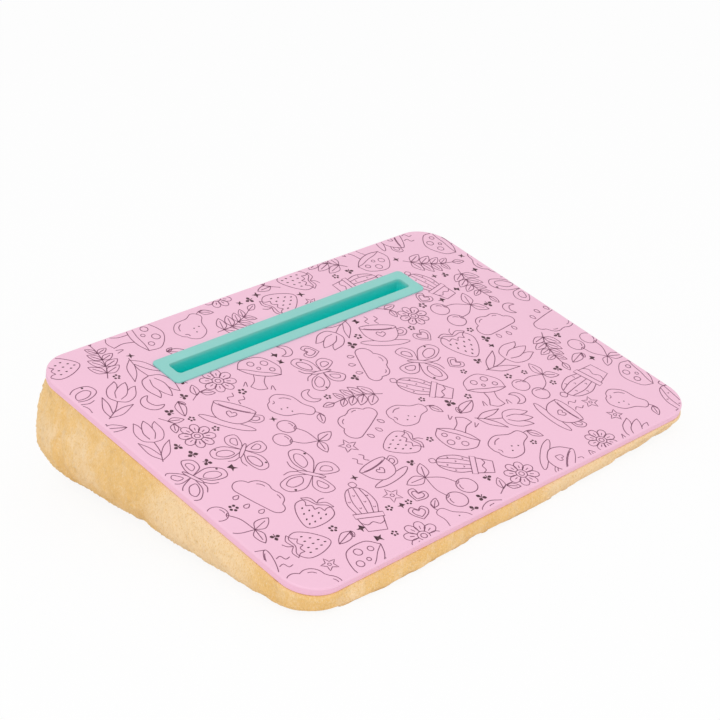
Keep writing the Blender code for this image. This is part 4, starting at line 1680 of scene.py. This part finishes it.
def make_bead_bag():
    """The inner bag, lumpy with the beads that it holds, pressed down under the well."""
    shape = CushionSkin(BAG_CELLS_ACROSS, BAG_CELLS_DEEP, BAG_ROWS, inset=BAG_INSET)
    points = np.array(shape.points)
    level = PANEL_LEVEL + BAG_UNDER_PANEL
    over = np.maximum(on_board(points)[:, 2] + level, 0)
    points -= over[:, None] * np.asarray(FACE_NORMAL)
    points[shape.top_start:] = press_trough(
        points[shape.top_start:], level, PANEL_MARGIN + BAG_UNDER_PANEL
    )
    points = filled_out(points)
    points[:, 2] += [
        BEAD_LUMP * noise.noise(Vector(point) * BEAD_LUMPS_A_METRE) for point in points
    ]
    mesh = shape.mesh("bead_bag", points)
    mesh.shade_smooth()
    cloth = make_woven_cloth("bag_liner", *LINER_WHITES, thread=0.0005)
    bag = add_piece(mesh, "liner_cloth", cloth)
    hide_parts("liner_top", "liner_lower", "bead_fill")


# Hidden pieces


def finish_hidden_nodes():
    """Materials for the core, the balancing sheet and the tapes, which keep their meshes."""
    finishes = {
        "board_core": make_fibreboard(),
        "under_sheet": make_backing_paper(),
        "hook_strip": make_tape("hook_tape", HOOK_WHITE, spacing=0.0011, height=0.0004),
        "loop_strip": make_tape("loop_tape", LOOP_WHITE, spacing=0.0008, height=0.0003),
    }
    for name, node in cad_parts.items():
        for start, material in finishes.items():
            if name.startswith(start):
                node.data.materials.clear()
                node.data.materials.append(material)


# Stage, light and camera


def turned_to(direction):
    """The turn that points a camera or a lamp in a direction."""
    return direction.to_track_quat("-Z", "Y").to_euler()


def make_camera():
    data = bpy.data.cameras.new("photo_view")
    data.lens = LENS
    data.sensor_width = SENSOR
    camera = add_object("photo_view", data)
    camera.location = BOARD @ Vector(AIM) - VIEW_FORWARD.normalized() * AIM_DISTANCE
    camera.rotation_euler = turned_to(VIEW_FORWARD)
    bpy.context.scene.camera = camera


def seen_directly(shading):
    """1 for what the camera sees, straight or by reflection or through something clear."""
    path = shading.node("ShaderNodeLightPath").outputs
    seen = shading.maths("MAXIMUM", path["Is Camera Ray"], path["Is Glossy Ray"])
    return shading.maths("MAXIMUM", seen, path["Is Transmission Ray"])


def make_floor():
    """A white floor, which glows a little for the eye so that only the desk's shadow shows."""
    body = bmesh.new()
    bmesh.ops.create_circle(body, cap_ends=True, segments=FLOOR_SEGMENTS, radius=FLOOR_RADIUS)
    mesh = bpy.data.meshes.new("floor")
    body.to_mesh(mesh)
    body.free()
    finish = Finish("white_floor", 1.0, Specular_IOR_Level=0.0, Base_Color=FLOOR_WHITE)
    glow = finish.node("ShaderNodeEmission", {"Color": (1.0, 1.0, 1.0), "Strength": 1.0})
    share = finish.maths("MULTIPLY", seen_directly(finish), FLOOR_GLOW)
    given = {0: share, 1: finish.surface.outputs[0], 2: glow.outputs[0]}
    mixed = finish.node("ShaderNodeMixShader", given).outputs[0]
    finish.feed(finish.tree.nodes["Material Output"].inputs["Surface"], mixed)
    mesh.materials.append(finish.material)
    add_object("floor", mesh)


def make_light():
    """An even white surround, a soft lamp over the front left, and a weak one low in front."""
    world = bpy.data.worlds.new("studio")
    bpy.context.scene.world = world
    world.use_nodes = True
    shading = Shading(world.node_tree)
    surround = world.node_tree.nodes["Background"].inputs
    shading.feed(surround["Color"], (1.0, 1.0, 1.0))
    strength = shading.spread(seen_directly(shading), WORLD_LEVEL, 1.0)
    shading.feed(surround["Strength"], strength)
    for name, place, size, power in LAMPS:
        lamp = bpy.data.lights.new(name, "AREA")
        lamp.shape = "DISK"
        lamp.size = size
        lamp.energy = power
        holder = add_object(name, lamp)
        holder.location = place
        holder.rotation_euler = turned_to(-holder.location)


# Assembly

make_camera()
make_floor()
make_light()
make_printed_face()
make_board_edge()
make_print()
make_slot_insert()
make_plush_cushion()
make_bead_bag()
finish_hidden_nodes()

settings = bpy.context.scene.view_settings
settings.view_transform = "Standard"
